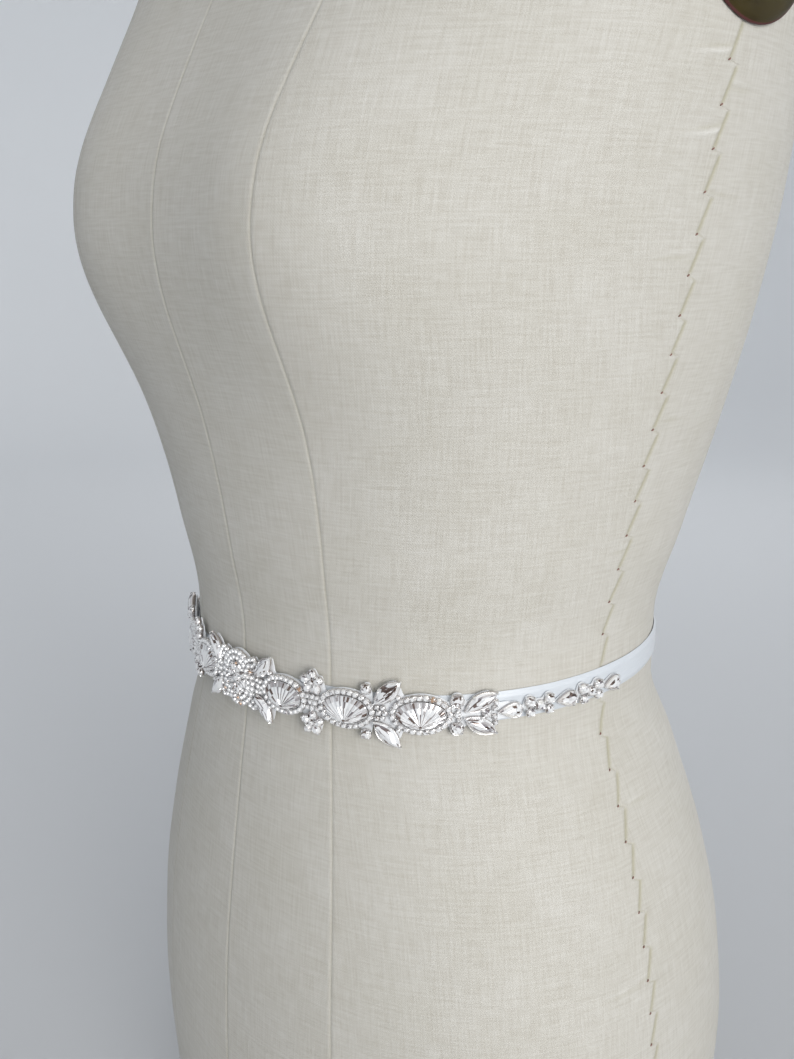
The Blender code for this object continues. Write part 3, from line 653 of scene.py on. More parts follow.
def make_cover(material):
    """The linen over the form, with its seams, creases and rounded ends."""
    heights, angles, offsets, nearest = cover_grid()
    points = torso_points(angles, heights[:, None])
    flatten_arms(points)
    columns = angles.shape[1]
    after = np.roll(points, -1, axis=1)
    normals = np.cross(after - np.roll(points, 1, axis=1), np.gradient(points, axis=0))
    normals /= np.linalg.norm(normals, axis=-1)[..., None]
    runs = np.pad(np.cumsum(np.linalg.norm(after - points, axis=-1), axis=1), ((0, 0), (1, 0)))
    seam_runs = runs[:, :: columns // PANELS]
    by_hand = np.isin(nearest, SIDE_SEAMS)
    on_form = smooth_step((SEAM_TOP - heights) / SEAM_FADE)[:, None]
    groove = bell(offsets, np.where(by_hand, SIDE_SEAM_HALF_WIDTH, SEAM_HALF_WIDTH)) * on_form
    welt = bell(offsets - WELT_PLACE, WELT_HALF_WIDTH) * on_form
    creases = crease_relief(heights, runs[:, :-1], seam_runs)
    points = points + normals * (creases - SEAM_GROOVE * groove + SEAM_WELT * welt)[..., None]

    low, high = TORSO_LEVELS[0, 0], TORSO_LEVELS[-1, 0]
    below = rounded_rim(points[0], low, HEM_ROUNDING, HEM_TURNS)
    above = rounded_rim(points[-1], high, NECK_ROUNDING, NECK_TURNS)
    grid = np.concatenate((below, points, above))
    faces = body_faces(len(grid), columns)
    grid = grid.reshape(-1, 3)
    made = mesh_object("form_cover", grid, faces, [material], sharp=60)

    # The cloth's own coordinates: across each panel from its middle, and up along the form.
    def all_rows(values):
        return np.pad(values, ((len(below), len(above)), (0, 0)), mode="edge")

    _, front, back, _ = sections(heights)
    slant = (stitch_part(heights) - 0.5) * HAND_STITCH_SLANT * back / front
    straight_runs = seam_runs.copy()
    straight_runs[:, SIDE_SEAMS] -= np.outer(slant, (1, -1))
    panel = np.arange(columns) // (columns // PANELS)
    middles = (straight_runs[:, panel] + straight_runs[:, panel + 1]) / 2
    left, right = all_rows(runs[:, :-1] - middles), all_rows(runs[:, 1:] - middles)
    quads, ends = np.array(faces[:-2]), np.concatenate(faces[-2:])
    place = np.zeros((quads.size + ends.size, 3))
    place[: quads.size, 0] = np.stack((left[:-1], right[:-1], right[1:], left[1:]), -1).ravel()
    place[: quads.size, 1] = grid[quads, 2].ravel()
    place[quads.size :, :2] = grid[ends, :2]
    set_attribute(made, WEAVE, "CORNER", place)
    stitch = stitch_part(heights)[:, None]
    drawn = smooth_step(stitch / STITCH_FADE) * smooth_step((1 - stitch) / STITCH_FADE)
    # The seams darken; the creases get painted highlights on their crests and painted shade in their
    # troughs.
    shade = groove * np.where(by_hand, SIDE_SEAM_SHADE * drawn, SEAM_SHADE) - CREASE_SHADE * creases
    set_attribute(made, SHADE, "POINT", all_rows(shade))
    settle(made, "linen", "form_torso")


def arm_matrix(side):
    """The place of an arm plate's own frame, with Z out from the form."""
    back, up = ARM_PLATE_CENTRE
    across = ARM_PLANE_X + CLEARANCE * ARM_SLOPE - up * ARM_RISE
    height = WAIST_HEIGHT + ARM_PLANE_HEIGHT + CLEARANCE * ARM_RISE + up * ARM_SLOPE
    turn = Matrix.Rotation(side * (math.pi / 2 - ARM_PLANE_LEAN), 4, "Y")
    return Matrix.Translation((side * across, back, height)) @ turn


def make_arm_plate(name, side, face, rim):
    """A domed oval plate with a thin flange round it."""
    profile = (
        # distance in from the rim, height out from the form, and 1 where the rim's finish shows
        (0.0010, 0.0000, 1),
        (0.0001, 0.0001, 1),
        (0.0000, 0.0007, 1),
        (0.0002, 0.0010, 1),
        (0.0006, 0.0012, 0),
        (0.0010, 0.0017, 0),
        (0.0024, 0.0025, 0),
        (0.0050, 0.0034, 0),
        (0.0100, 0.0041, 0),
        (0.0170, 0.0045, 0),
        (0.0250, 0.0048, 0),
        (0.0330, 0.0049, 0),
    )
    rings = []
    for inset, out, _ in profile:
        outline = oval(ARM_PLATE_HEIGHT / 2 - inset, ARM_PLATE_DEPTH / 2 - inset)
        rings.append(flat_ring(outline, out))
    faces = body_faces(len(rings), RING_POINTS)
    slots = [slot for *_, slot in profile[:-1] for _ in range(RING_POINTS)] + [1, 0]
    made = mesh_object(name + "_plate", np.concatenate(rings), faces, [face, rim], slots, sharp=50)
    made.data.transform(arm_matrix(side))
    settle(made, "arm_plate", name)


# --- the ribbon, and what it shares with the backing ---
FLAT_SHARE = 0.62  # of a band's half width: beyond it the edge bends in


def cloth_band(name, along, loops, material):
    """A thin closed band: loops holds, for each station, the (up, out) points round its section."""
    stations, count = loops.shape[:2]
    flat = np.concatenate((np.broadcast_to(along[:, None, None], (stations, count, 1)), loops), axis=2)
    faces = body_faces(stations, count, turned=True)
    made = mesh_object(name, worn(flat.reshape(-1, 3)), faces, [material], sharp=50)
    set_attribute(made, WEAVE, "POINT", flat)
    return made


def band_section(half_points, thickness, edge):
    """(share of the width, out) points round a band's section, outer face first: the edge is bent in."""
    shares = np.linspace(-1, 1, half_points)
    bend = -edge * smooth_step((np.abs(shares) - FLAT_SHARE) / (1 - FLAT_SHARE))
    outer = np.stack((shares, thickness + bend), -1)
    inner = np.stack((shares[::-1], bend), -1)
    outer[[0, -1], 1] -= thickness / 4
    inner[[0, -1], 1] += thickness / 4
    return np.concatenate((outer, inner))


RIBBON_STATIONS = 420
SATIN_THICKNESS = 0.0004
SATIN_EDGE = 0.00075  # how far the edges bend in to the form
SATIN_PLACE = 0.0005  # out from the inner side of the ribbon's solid
RIPPLES = ((0.00008, 0.057, 0), (0.00006, 0.023, 1))  # the depth, length and start of each


def make_ribbon(material):
    """The satin ribbon. One end laps over the other, its edges lie in and its face ripples a little."""
    length = GIRTH + RIBBON_LAP
    along = np.linspace(-length / 2, length / 2, RIBBON_STATIONS)
    section = band_section(19, SATIN_THICKNESS, SATIN_EDGE)
    ripple = sum(depth * np.sin(along * 2 * math.pi / wave + start) for depth, wave, start in RIPPLES)
    ramp_start = length / 2 - RIBBON_LAP - LAP_RAMP - LAP_LEVEL
    lap = (RIBBON_SPACE + CLEARANCE) * smooth_step((along - ramp_start) / LAP_RAMP)
    up = section[None, :, 0] * RIBBON_WIDTH / 2 + ripple[:, None]
    out = RIBBON_OUT + SATIN_PLACE + section[None, :, 1] + lap[:, None] + ripple[:, None]
    made = cloth_band("satin_ribbon", along, np.stack((up, out), -1), material)
    settle(made, "satin", "ribbon")


# --- outlines of the settings: each gives the points at some turns, from 0 to 1, round its middle ---
def oval(half_length, half_width):
    def at(turns):
        angles = 2 * math.pi * turns
        return np.stack((half_length * np.cos(angles), half_width * np.sin(angles)), -1)

    return at


def navette(length, width):
    def at(turns):
        turns = turns % 1.0
        part = np.where(turns < 0.5, 4 * turns - 1, 3 - 4 * turns)
        bulge = (1 - part**2) * width / 2
        return np.stack((part * length / 2, np.where(turns < 0.5, -bulge, bulge)), -1)

    return at


def disc(radius):
    return oval(radius, radius)


def flat_ring(outline, height):
    """Points round an outline at one height."""
    turns = np.arange(RING_POINTS) / RING_POINTS
    return np.column_stack((outline(turns), np.full(RING_POINTS, height)))


def pear(length, width, side):
    """A drop with its point towards the centre front."""

    def raw(turns):
        angles = math.pi + 2 * math.pi * turns
        swell = np.abs(np.sin((angles - math.pi) / 2)) ** PEAR_SWELL
        return np.cos(angles), np.sin(angles) * swell

    widest = raw(np.linspace(0, 1, 400))[1].max()

    def at(turns):
        x, y = raw(turns if side > 0 else 1 - turns)
        return np.stack((side * x * length / 2, y * width / 2 / widest), -1)

    return at


class Setting:
    """An outline at a place on the flat sash, over the middle line of the applique."""

    def __init__(self, outline, along, up, turn=0.0):
        self.outline, self.along, self.up, self.turn = outline, along, up - APPLIQUE_DROP, turn

    def ring(self, turns, scale, out, margin=0.0):
        """Points round the outline: drawn in to its middle by the scale, and out by the margin.

        The scale is one number, or one along the setting and one across it.
        """
        shape = self.outline(turns)
        if margin:
            step = self.outline(turns + 1e-4) - self.outline(turns - 1e-4)
            away = np.stack((step[:, 1], -step[:, 0]), -1)
            shape = shape + margin * away / np.maximum(np.linalg.norm(away, axis=1), 1e-12)[:, None]
        shape = shape * np.array(scale)
        cosine, sine = math.cos(self.turn), math.sin(self.turn)
        along = self.along + shape[:, 0] * cosine - shape[:, 1] * sine
        up = self.up + shape[:, 0] * sine + shape[:, 1] * cosine
        return np.stack((along, up, np.broadcast_to(out, len(turns))), -1)


def leaf_setting(row, above, side):
    _, near, near_up, far, far_up, width = row
    x0, y0, x1, y1 = side * near, above * near_up, side * far, above * far_up
    outline = navette(math.hypot(x1 - x0, y1 - y0), width)
    return Setting(outline, (x0 + x1) / 2, (y0 + y1) / 2, math.atan2(y1 - y0, x1 - x0))


def round_setting(along, up, diameter):
    return Setting(disc(diameter / 2), along, up)


def pear_setting(along, side):
    return Setting(pear(PEAR_LENGTH, PEAR_WIDTH, side), side * along, 0.0)


def link_middles():
    return [(before + after) / 2 + LINK_SHIFT for before, after in zip(PEARS, PEARS[1:])]


def flower_settings(along, up):
    """The five petals of a flower, round its middle."""
    found = []
    for petal in range(FLOWER_PETALS):
        turn = math.pi / 2 + 2 * math.pi * petal / FLOWER_PETALS
        x, y = along + FLOWER_REACH * math.cos(turn), up + FLOWER_REACH * math.sin(turn)
        found.append(Setting(oval(*FLOWER_PETAL), x, y, turn))
    return found


def fan_setting(along):
    return Setting(oval(FAN_LENGTH / 2, FAN_WIDTH / 2), along, 0.0)


def medallion_setting():
    return Setting(oval(MEDALLION_HALF_LENGTH, MEDALLION_HALF_WIDTH), 0.0, 0.0)


# --- cutting stones and raising metal ---
class Kit:
    """Collects the faces of one piece on the flat sash."""

    def __init__(self):
        self.points, self.faces, self.slots, self.shades, self.smooth = [], [], [], [], []

    def add(self, points, faces, slot, shades, smooth=False):
        start = sum(len(part) for part in self.points)
        self.points.append(np.asarray(points))
        self.faces += [tuple(start + i for i in face) for face in faces]
        self.slots += [slot] * len(faces)
        self.shades += [shades] * len(faces) if isinstance(shades, float) else list(shades)
        self.smooth += [smooth] * len(faces)

    def make(self, name, slot, *nodes):
        """The piece, worn by the form. It stands for the solids in these nodes."""
        points = worn(np.concatenate(self.points))
        made = mesh_object(name, points, self.faces, [SILVER, CRYSTAL], self.slots, self.smooth, 45)
        set_attribute(made, SHADE, "FACE", self.shades)
        settle(made, slot, *nodes)


METAL, STONE = 0, 1
SPARKLE = random.Random(7)
# The facets' painted reflections: bands of shade, how many facets fall in each, and the shades of painted
# dark slits and dark tops.
FACET_BANDS = ((0.0, 0.12), (0.22, 0.40), (0.48, 0.70), (0.78, 0.92))
FACET_SHARES = (7, 12, 31, 50)  # how many in a hundred facets have a shade in each band
BRIGHTEST = 0.92
SLIT_SHADES = (0.04, 0.30)
DARK_TOP_SHADES = (0.02, 0.26)
DARK_TOP_UP = 0.42  # where a stone's painted dark top, a painted reflection of the dark above it, starts, as a share of its reach from its middle
DARK_TOP_ASIDE = 0.5  # and how far it spreads to each side
PAINTED_AMBER_GLINT = 1.0
AMBER_STONES = 0.03  # the share of the rhinestones with painted amber glints
AMBER_FACETS = 0.6  # and the share of their facets that show it
MATCHING = 0.38  # how often a facet is like the one before it
LEAF_MATCHING = 0.58
MOODS = (-0.10, 0.14)  # how much lighter one stone's painted reflections are than another's
RHINESTONE_MOODS = (0.12, 0.40)
FOUR_CLAWS = (0.125, 0.375, 0.625, 0.875)
LEAF_CLAWS = (0.0, 0.5, 0.2, 0.8)
PEAR_CLAWS = (0.0, 0.36, 0.64)
PETAL_CLAWS = (0.0, 0.3, 0.7)
BEAD_STONE = 0.45  # a rhinestone's radius, as a share of its cup's diameter
ROUND_STONE = 0.9  # the diameter of a round stone, and of a link's, as such a share
LINK_STONE = 0.84
CUP_WALL = 0.00025
CLAW_WIDTH = 0.0007
SMALL_CLAW_WIDTH = 0.0006
LINK_CLAW_WIDTH = 0.0008
WIDE_CLAW_WIDTH = 0.0009
# painted shade of the base plates, down between the cups
PLATE_SHADE = 0.40
PLATE_THICKNESS = 0.0005


def painted_facet_reflections(setting, points, faces, slits, mood, painted_dark_top, painted_glint_share, match):
    """The painted reflection of each facet: mostly light or white, some grey, a few nearly black, and now
    and then a painted amber glint.

    Neighbours often match, and the upper edge of a stone is often painted dark, as a reflection of the dark
    above it.
    """
    reach = np.abs(points[:, 1] - setting.up).max()
    shades = []
    for face, slit in zip(faces, slits):
        aside, above, _ = np.mean(points[list(face)], axis=0) - (setting.along, setting.up, 0.0)
        at_top = above > DARK_TOP_UP * reach and abs(aside) < DARK_TOP_ASIDE * reach
        if SPARKLE.random() < painted_glint_share:
            shade = PAINTED_AMBER_GLINT
        elif shades and SPARKLE.random() < match:
            shade = shades[-1]
        elif SPARKLE.random() < slit:
            shade = SPARKLE.uniform(*SLIT_SHADES)
        elif at_top and SPARKLE.random() < painted_dark_top:
            shade = SPARKLE.uniform(*DARK_TOP_SHADES)
        else:
            low, high = SPARKLE.choices(FACET_BANDS, FACET_SHARES)[0]
            shade = min(max(SPARKLE.uniform(low, high) + mood, 0.0), BRIGHTEST)
        shades.append(shade)
    return shades


def add_body(kit, rings, slot, shades, smooth, turned=False):
    """Rings joined by quads into a closed body with flat ends."""
    faces = body_faces(len(rings), len(rings[0]), turned)
    kit.add(np.concatenate(rings), faces, slot, shades, smooth)


def add_metal(kit, setting, count, profile, ends=None, smooth=True):
    """Metal round a setting: each row has a scale, out, margin and the shade of the band after it.

    It has flat ends where their shades are given, and otherwise its last ring joins its first.
    """
    turns = np.arange(count) / count
    rings = [setting.ring(turns, *row[:3]) for row in profile]
    shades = [shade for *_, shade in profile for _ in range(count)]
    if ends:
        add_body(kit, rings, METAL, shades[:-count] + list(ends), smooth)
        return
    faces = []
    for level in range(len(rings)):
        faces += band(level * count, (level + 1) % len(rings) * count, count)
    kit.add(np.concatenate(rings), faces, METAL, shades, smooth)


def cut_crystal(kit, setting, count, girdle, height, levels, *light):
    """A stone with triangular facets, in levels up to its table."""
    turns = np.arange(count) / count
    rings = [setting.ring(turns, 0.97, girdle - 0.0003), setting.ring(turns, 1.0, girdle)]
    faces = band(0, count, count)
    slits = [0.0] * count
    for number, (scale, share, slit) in enumerate(levels, 1):
        shifted = turns + 0.5 * (number % 2) / count
        rings.append(setting.ring(shifted, scale, girdle + (height - girdle) * share))
        triangles = ((0, 1, 3), (3, 1, 2)) if number % 2 else ((0, 2, 3), (0, 1, 2))
        for quad in band(number * count, (number + 1) * count, count):
            faces += [tuple(quad[corner] for corner in triangle) for triangle in triangles]
        slits += [slit] * (2 * count)
    top = len(levels) * count + count
    faces += [(top + i, top + (i + 1) % count, top + count) for i in range(count)]
    faces.append(tuple(reversed(range(count))))
    slits += [0.0] * (count + 1)
    points = np.concatenate((*rings, np.mean(rings[-1], axis=0, keepdims=True)))
    kit.add(points, faces, STONE, painted_facet_reflections(setting, points, faces, slits, *light))


def add_cup(kit, setting, count, girdle):
    """The metal cup round a stone, from a drawn-in foot to a thin rim."""
    profile = (
        # the rows of add_metal; their shades paint shade on the cup's foot and lower wall and leave its rim
        # light
        (0.86, CUP_OUT, 0.0, 0.2),
        (1.0, CUP_OUT + (girdle - CUP_OUT) * 0.5, CUP_WALL, 0.5),
        (1.0, girdle - 0.00005, CUP_WALL, 0.9),
        (1.0, girdle + 0.0001, CUP_WALL * 0.6, 0.7),
        (0.95, girdle - 0.0001, 0.0, None),
    )
    add_metal(kit, setting, count, profile, (0.1, 0.5))


def add_claw(kit, setting, turn, girdle, height, width):
    """One claw, bent from the cup's side over the stone's edge."""
    edge = setting.ring(np.array((turn - 1e-3, turn, turn + 1e-3)), 1.0, 0.0)
    way = edge[2] - edge[0]
    way /= max(np.linalg.norm(way), 1e-12)
    away = np.array((way[1], -way[0], 0.0))
    rise = np.array((0.0, 0.0, 1.0))
    crown = height - girdle
    stations = (
        # out from the edge, height, half width, thickness
        (0.00022, CUP_OUT + 0.0002, width * 0.5, 0.00022),
        (0.00030, girdle + crown * 0.12, width * 0.5, 0.00030),
        (-0.00005, girdle + crown * 0.46, width * 0.48, 0.00034),
        (-0.00048, girdle + crown * 0.62, width * 0.34, 0.00022),
    )
    rings = []
    for out, level, half, thick in stations:
        middle = edge[1] + away * out + rise * level
        outer = away * thick * 0.6 + rise * thick * 0.6
        rings.append(np.array((
            middle - way * half,
            middle - way * half * 0.6 + outer,
            middle + way * half * 0.6 + outer,
            middle + way * half,
            middle - outer * 0.6,
        )))
    add_body(kit, rings, METAL, 0.95, True, turned=True)


# Each level of a crown: how far it is drawn in, along and across, its share of the crown's height, and how
# often a facet below it is painted as a dark slit, a painted reflection
ROUND_CUT = ((0.82, 0.50, 0.0), (0.56, 1.0, 0.0))
BEAD_CUT = ((0.86, 0.55, 0.0), (0.58, 1.0, 0.0))
LEAF_CUT = (
    ((0.95, 0.80), 0.40, 0.0),
    ((0.90, 0.58), 0.68, 0.0),
    ((0.84, 0.44), 0.78, 0.4),
    ((0.68, 0.17), 0.96, 0.0),
    ((0.50, 0.06), 1.00, 0.2),
)
PEAR_CUT = (((0.86, 0.80), 0.45, 0.0), ((0.66, 0.50), 0.82, 0.0), ((0.36, 0.22), 1.0, 0.0))


def add_jewel(
    kit, setting, height, sides, cut, claws, claw_width=CLAW_WIDTH, mood=None, painted_dark_top=0.5, painted_glint_share=0.0
):
    """A stone in its cup, held by claws at the given turns. The painted reflections of a leaf's long facets
    match more often, in streaks.
    """
    girdle = APPLIQUE_OUT + height * GIRDLE
    top = APPLIQUE_OUT + height
    if mood is None:
        mood = SPARKLE.uniform(*MOODS)
    add_cup(kit, setting, max(sides, 12), girdle)
    match = LEAF_MATCHING if cut is LEAF_CUT else MATCHING
    cut_crystal(kit, setting, sides, girdle, top, cut, mood, painted_dark_top, painted_glint_share, match)
    for turn in claws:
        add_claw(kit, setting, turn, girdle, top, claw_width)


def rhinestone(kit, along, up, diameter, height, turn=0.125):
    """A small round stone in a four-clawed cup."""
    claws = [turn + quarter / 4 for quarter in range(4)]
    mood = SPARKLE.uniform(*RHINESTONE_MOODS)
    painted_glint_share = AMBER_FACETS if SPARKLE.random() < AMBER_STONES else 0.0
    setting = Setting(disc(diameter * BEAD_STONE), along, up)
    add_jewel(kit, setting, height, 8, BEAD_CUT, claws, diameter * 0.16, mood, 0.1, painted_glint_share)


def base_plate(kit, setting, margin):
    """The plate that a group of cups is soldered to, painted mid grey as painted shade between them."""
    profile = [(1.0, CUP_OUT + out, margin, PLATE_SHADE) for out in (0.0, PLATE_THICKNESS)]
    add_metal(kit, setting, 48, profile, (PLATE_SHADE, PLATE_SHADE), smooth=False)


def add_chain(kit, along, half_length, half_width, count, diameter, height, radial=False):
    """Rhinestones spread evenly round an oval. Each faces along the oval, or away from its middle."""
    line = oval(half_length, half_width)
    fine = np.linspace(0, 1, 721)
    runs = np.append(0.0, np.cumsum(np.linalg.norm(np.diff(line(fine), axis=0), axis=1)))
    for turn in np.interp(np.arange(count) / count * runs[-1], runs, fine):
        x, y = line(np.array([turn]))[0]
        way = (x, y) if radial else line(np.array([turn + 0.001]))[0] - (x, y)
        facing = math.atan2(way[1], way[0]) / (2 * math.pi)
        rhinestone(kit, along + x, y, diameter, height, facing + 0.125)


FAN_CLAWS = (0.06, 0.19, 0.31, 0.44, 0.56, 0.69, 0.81, 0.94)
FAN_PLATE_MARGIN = CLEARANCE + CHAIN_STONE * 0.86
BEZEL_FOOT = CUP_OUT + 0.0003
BEZEL_RIM = APPLIQUE_OUT + 0.0019
BEZEL_PROFILE = (
    # the rows of add_metal; their shades paint shade low on the bezel and inside it, and leave its rim
    # light
    (1.0, BEZEL_FOOT, 0.00005, 0.1),
    (1.0, BEZEL_FOOT, 0.0003, 0.2),
    (1.0, BEZEL_RIM, 0.0003, 0.85),
    (1.0, BEZEL_RIM, 0.00005, 0.15),
)


def make_fan_frame(name, along):
    """The bezel of a fan stone, inside a ring of rhinestone chain."""
    kit = Kit()
    setting = fan_setting(along)
    base_plate(kit, setting, FAN_PLATE_MARGIN)
    add_metal(kit, setting, 64, BEZEL_PROFILE)
    for turn in FAN_CLAWS:
        add_claw(kit, setting, turn, BEZEL_RIM - 0.0004, APPLIQUE_OUT + FAN_HEIGHT * 0.9, CLAW_WIDTH)
    half = CLEARANCE + CHAIN_STONE / 2
    halves = FAN_LENGTH / 2 + half, FAN_WIDTH / 2 + half
    add_chain(kit, along, *halves, CHAIN_STONES, CHAIN_STONE, CHAIN_HEIGHT)
    kit.make(name + "_chain", "silver", name)


FAN_FOCUS = 0.42  # the flutes meet this share of the width under the middle
FLUTE_STATIONS = (
    # share of the way from the focus to the rim, out as a share of the height at a ridge and in a groove
    (1.00, 0.26, 0.26),
    (1.00, 0.52, 0.42),
    (0.80, 0.80, 0.66),
    (0.55, 0.94, 0.80),
    (0.26, 1.00, 0.86),
    (0.07, 0.93, 0.90),
)
# Painted reflections of a fan stone's facets: mixed greys on the cut rim, painted shade in the grooves,
# painted highlights on the ridges.
RIM_SHADES = (0.10, 0.28, 0.36, 0.45, 0.62)
GROOVE_SHADES = (0.0, 0.05, 0.12, 0.45)
GROOVE_LIFTS = (0.20, 0.05, 0.0)  # added to a groove's shade, from the rim in
RIDGE_SHADES = (0.66, BRIGHTEST)
PAINTED_DARK_RIDGES = 0.08  # the share of the ridges' facets with a painted dark reflection
PAINTED_DARK_RIDGE_SHADES = (0.05, 0.4)
FLUTE_SHIFTS = (-0.12, 0.12)  # how uneven the flutes are, as shares of their spacing
FLUTE_HALF_WIDTHS = (0.34, 0.42)


def make_fan_crystal(name, along):
    """An oval stone pressed like a fan: flutes spread from a point near its lower edge to a cut rim."""
    focus = np.array((0.0, -FAN_WIDTH * FAN_FOCUS))
    spacing = 1 / FAN_FLUTES
    turns = []
    for i in range(FAN_FLUTES):
        middle = 0.25 + (i + 0.5 + SPARKLE.uniform(*FLUTE_SHIFTS)) * spacing
        half = spacing * SPARKLE.uniform(*FLUTE_HALF_WIDTHS)
        turns += [middle - half, middle, middle + half]
    reach = oval(FAN_LENGTH / 2, FAN_WIDTH / 2)(np.array(turns)) - focus
    on_ridge = np.arange(len(turns)) % 3 == 1
    rings = []
    for share, ridge, groove in FLUTE_STATIONS:
        out = APPLIQUE_OUT + FAN_HEIGHT * np.where(on_ridge, ridge, groove)
        rings.append(np.column_stack((focus + reach * share + (along, -APPLIQUE_DROP), out)))
    # Each groove's painted shade, and each ridge's two painted highlights.
    deep = [SPARKLE.choice(GROOVE_SHADES) for _ in range(FAN_FLUTES)]
    bright = [[SPARKLE.uniform(*RIDGE_SHADES) for _ in range(2)] for _ in range(FAN_FLUTES)]
    shades = []
    for level in range(len(FLUTE_STATIONS) - 1):
        for i in range(len(turns)):
            flute, part = divmod(i, 3)
            if level < 2:
                shades.append(SPARKLE.choice(RIM_SHADES))
            elif part == 2:
                shades.append(deep[flute] + GROOVE_LIFTS[level - 2])
            elif SPARKLE.random() < PAINTED_DARK_RIDGES:
                shades.append(SPARKLE.uniform(*PAINTED_DARK_RIDGE_SHADES))
            else:
                shades.append(bright[flute][part])
    kit = Kit()
    add_body(kit, rings, STONE, shades + [0.2, 0.08], False)
    kit.make(name + "_crystal", "crystal", name)


def make_flower(name, along, up):
    """Petal stones round a small middle one, on a round plate."""
    kit = Kit()
    base_plate(kit, Setting(disc(FLOWER_RADIUS * 0.62), along, up), 0.0)
    for setting in flower_settings(along, up):
        add_jewel(kit, setting, FLOWER_HEIGHT * 0.92, 10, ROUND_CUT, PETAL_CLAWS, SMALL_CLAW_WIDTH)
    heart = Setting(disc(FLOWER_RADIUS * 0.20), along, up)
    add_jewel(kit, heart, FLOWER_HEIGHT, 8, ROUND_CUT, (), mood=0.1)
    kit.make(name + "_petals", "crystal", name)


INNER_CHAIN_HEIGHT = CHAIN_HEIGHT * 1.15
MEDALLION_RINGS = (
    # in from the rim, how many stones, diameter, height
    (0.0014, 27, 0.0027, CHAIN_HEIGHT),
    (0.0040, 21, 0.0026, INNER_CHAIN_HEIGHT),
)
NAVETTES = 8
NAVETTE_SIZE = (0.0048, 0.0034)
NAVETTE_REACH = (0.0049, 0.0053)
BEAD_REACH = (0.0062, 0.0069)  # a small bead stands between the outer ends of two navettes
BEAD_SIZE = 0.0020
HEART_RADIUS = 0.0026
MEDALLION_PLATE_INSET = 0.0006


def make_medallion():
    """The dense centre: navettes round a domed stone, in two ovals of rhinestones."""
    kit = Kit()
    base_plate(kit, medallion_setting(), -MEDALLION_PLATE_INSET)
    for inset, count, size, height in MEDALLION_RINGS:
        halves = MEDALLION_HALF_LENGTH - inset, MEDALLION_HALF_WIDTH - inset
        add_chain(kit, 0.0, *halves, count, size, height, radial=True)
    for number in range(NAVETTES):
        angle = 2 * math.pi * (number + 0.5) / NAVETTES
        x, y = NAVETTE_REACH[0] * math.cos(angle), NAVETTE_REACH[1] * math.sin(angle)
        setting = Setting(navette(*NAVETTE_SIZE), x, y, angle)
        add_jewel(kit, setting, MEDALLION_HEIGHT * 0.97, 12, LEAF_CUT, (0.0, 0.5), SMALL_CLAW_WIDTH)
        angle += math.pi / NAVETTES
        x, y = BEAD_REACH[0] * math.cos(angle), BEAD_REACH[1] * math.sin(angle)
        rhinestone(kit, x, y, BEAD_SIZE, INNER_CHAIN_HEIGHT, angle / (2 * math.pi))
    heart = Setting(disc(HEART_RADIUS), 0.0, 0.0)
    add_jewel(kit, heart, MEDALLION_HEIGHT, 12, PEAR_CUT, FOUR_CLAWS, WIDE_CLAW_WIDTH, 0.05)
    kit.make("medallion_crystals", "crystal", "centre_medallion")


def make_single(name, setting, height, sides, cut, claws):
    kit = Kit()
    add_jewel(kit, setting, height, sides, cut, claws, WIDE_CLAW_WIDTH)
    kit.make(name + "_jewel", "crystal", name)


def make_link(name, side, along):
    kit = Kit()
    for cup_along, up, diameter in LINK_CUPS:
        setting = round_setting(side * (along + cup_along), up, diameter * LINK_STONE)
        add_jewel(kit, setting, ROUND_HEIGHT, 10, ROUND_CUT, FOUR_CLAWS, LINK_CLAW_WIDTH)
    kit.make(name + "_jewels", "crystal", name)


def make_small_stones(side, side_name):
    kit = Kit()
    for along, up, diameter in SMALL_STONES:
        for above in (1, -1) if up else (1,):
            rhinestone(kit, side * along, above * up, diameter, CHAIN_HEIGHT * 0.95)
    kit.make("small_stones_" + side_name, "crystal")


def make_side(side, side_name):
    """Everything on one side of the centre front."""
    for number, along in enumerate(FAN_CENTRES, 1):
        make_fan_frame(f"fan_setting_{side_name}_{number}", side * along)
        make_fan_crystal(f"fan_stone_{side_name}_{number}", side * along)
    for above, above_name in ((1, "upper"), (-1, "lower")):
        end = f"{side_name}_{above_name}"
        for row in LEAVES:
            setting = leaf_setting(row, above, side)
            make_single(f"leaf_{row[0]}_{end}", setting, LEAF_HEIGHT, 14, LEAF_CUT, LEAF_CLAWS)
        for name, along, up, diameter in ROUNDS:
            setting = round_setting(side * along, above * up, diameter * ROUND_STONE)
            make_single(f"round_{name}_{end}", setting, ROUND_HEIGHT, 12, ROUND_CUT, FOUR_CLAWS)
        make_flower("flower_" + end, side * FLOWER_ALONG, above * FLOWER_UP)
    along, diameter = CROOK_ROUND
    setting = round_setting(side * along, 0.0, diameter * ROUND_STONE)
    make_single(f"round_crook_{side_name}", setting, ROUND_HEIGHT, 10, ROUND_CUT, FOUR_CLAWS)
    for number, along in enumerate(PEARS, 1):
        setting = pear_setting(along, side)
        make_single(f"pear_{side_name}_{number}", setting, PEAR_HEIGHT, 14, PEAR_CUT, PEAR_CLAWS)
    for number, along in enumerate(link_middles(), 1):
        make_link(f"link_{side_name}_{number}", side, along)
    make_small_stones(side, side_name)


# --- the backing, cut a little outside the stones ---
BACKING_STATIONS = 540
EDGE_SOFTENING = (0.25, 0.5, 0.25)


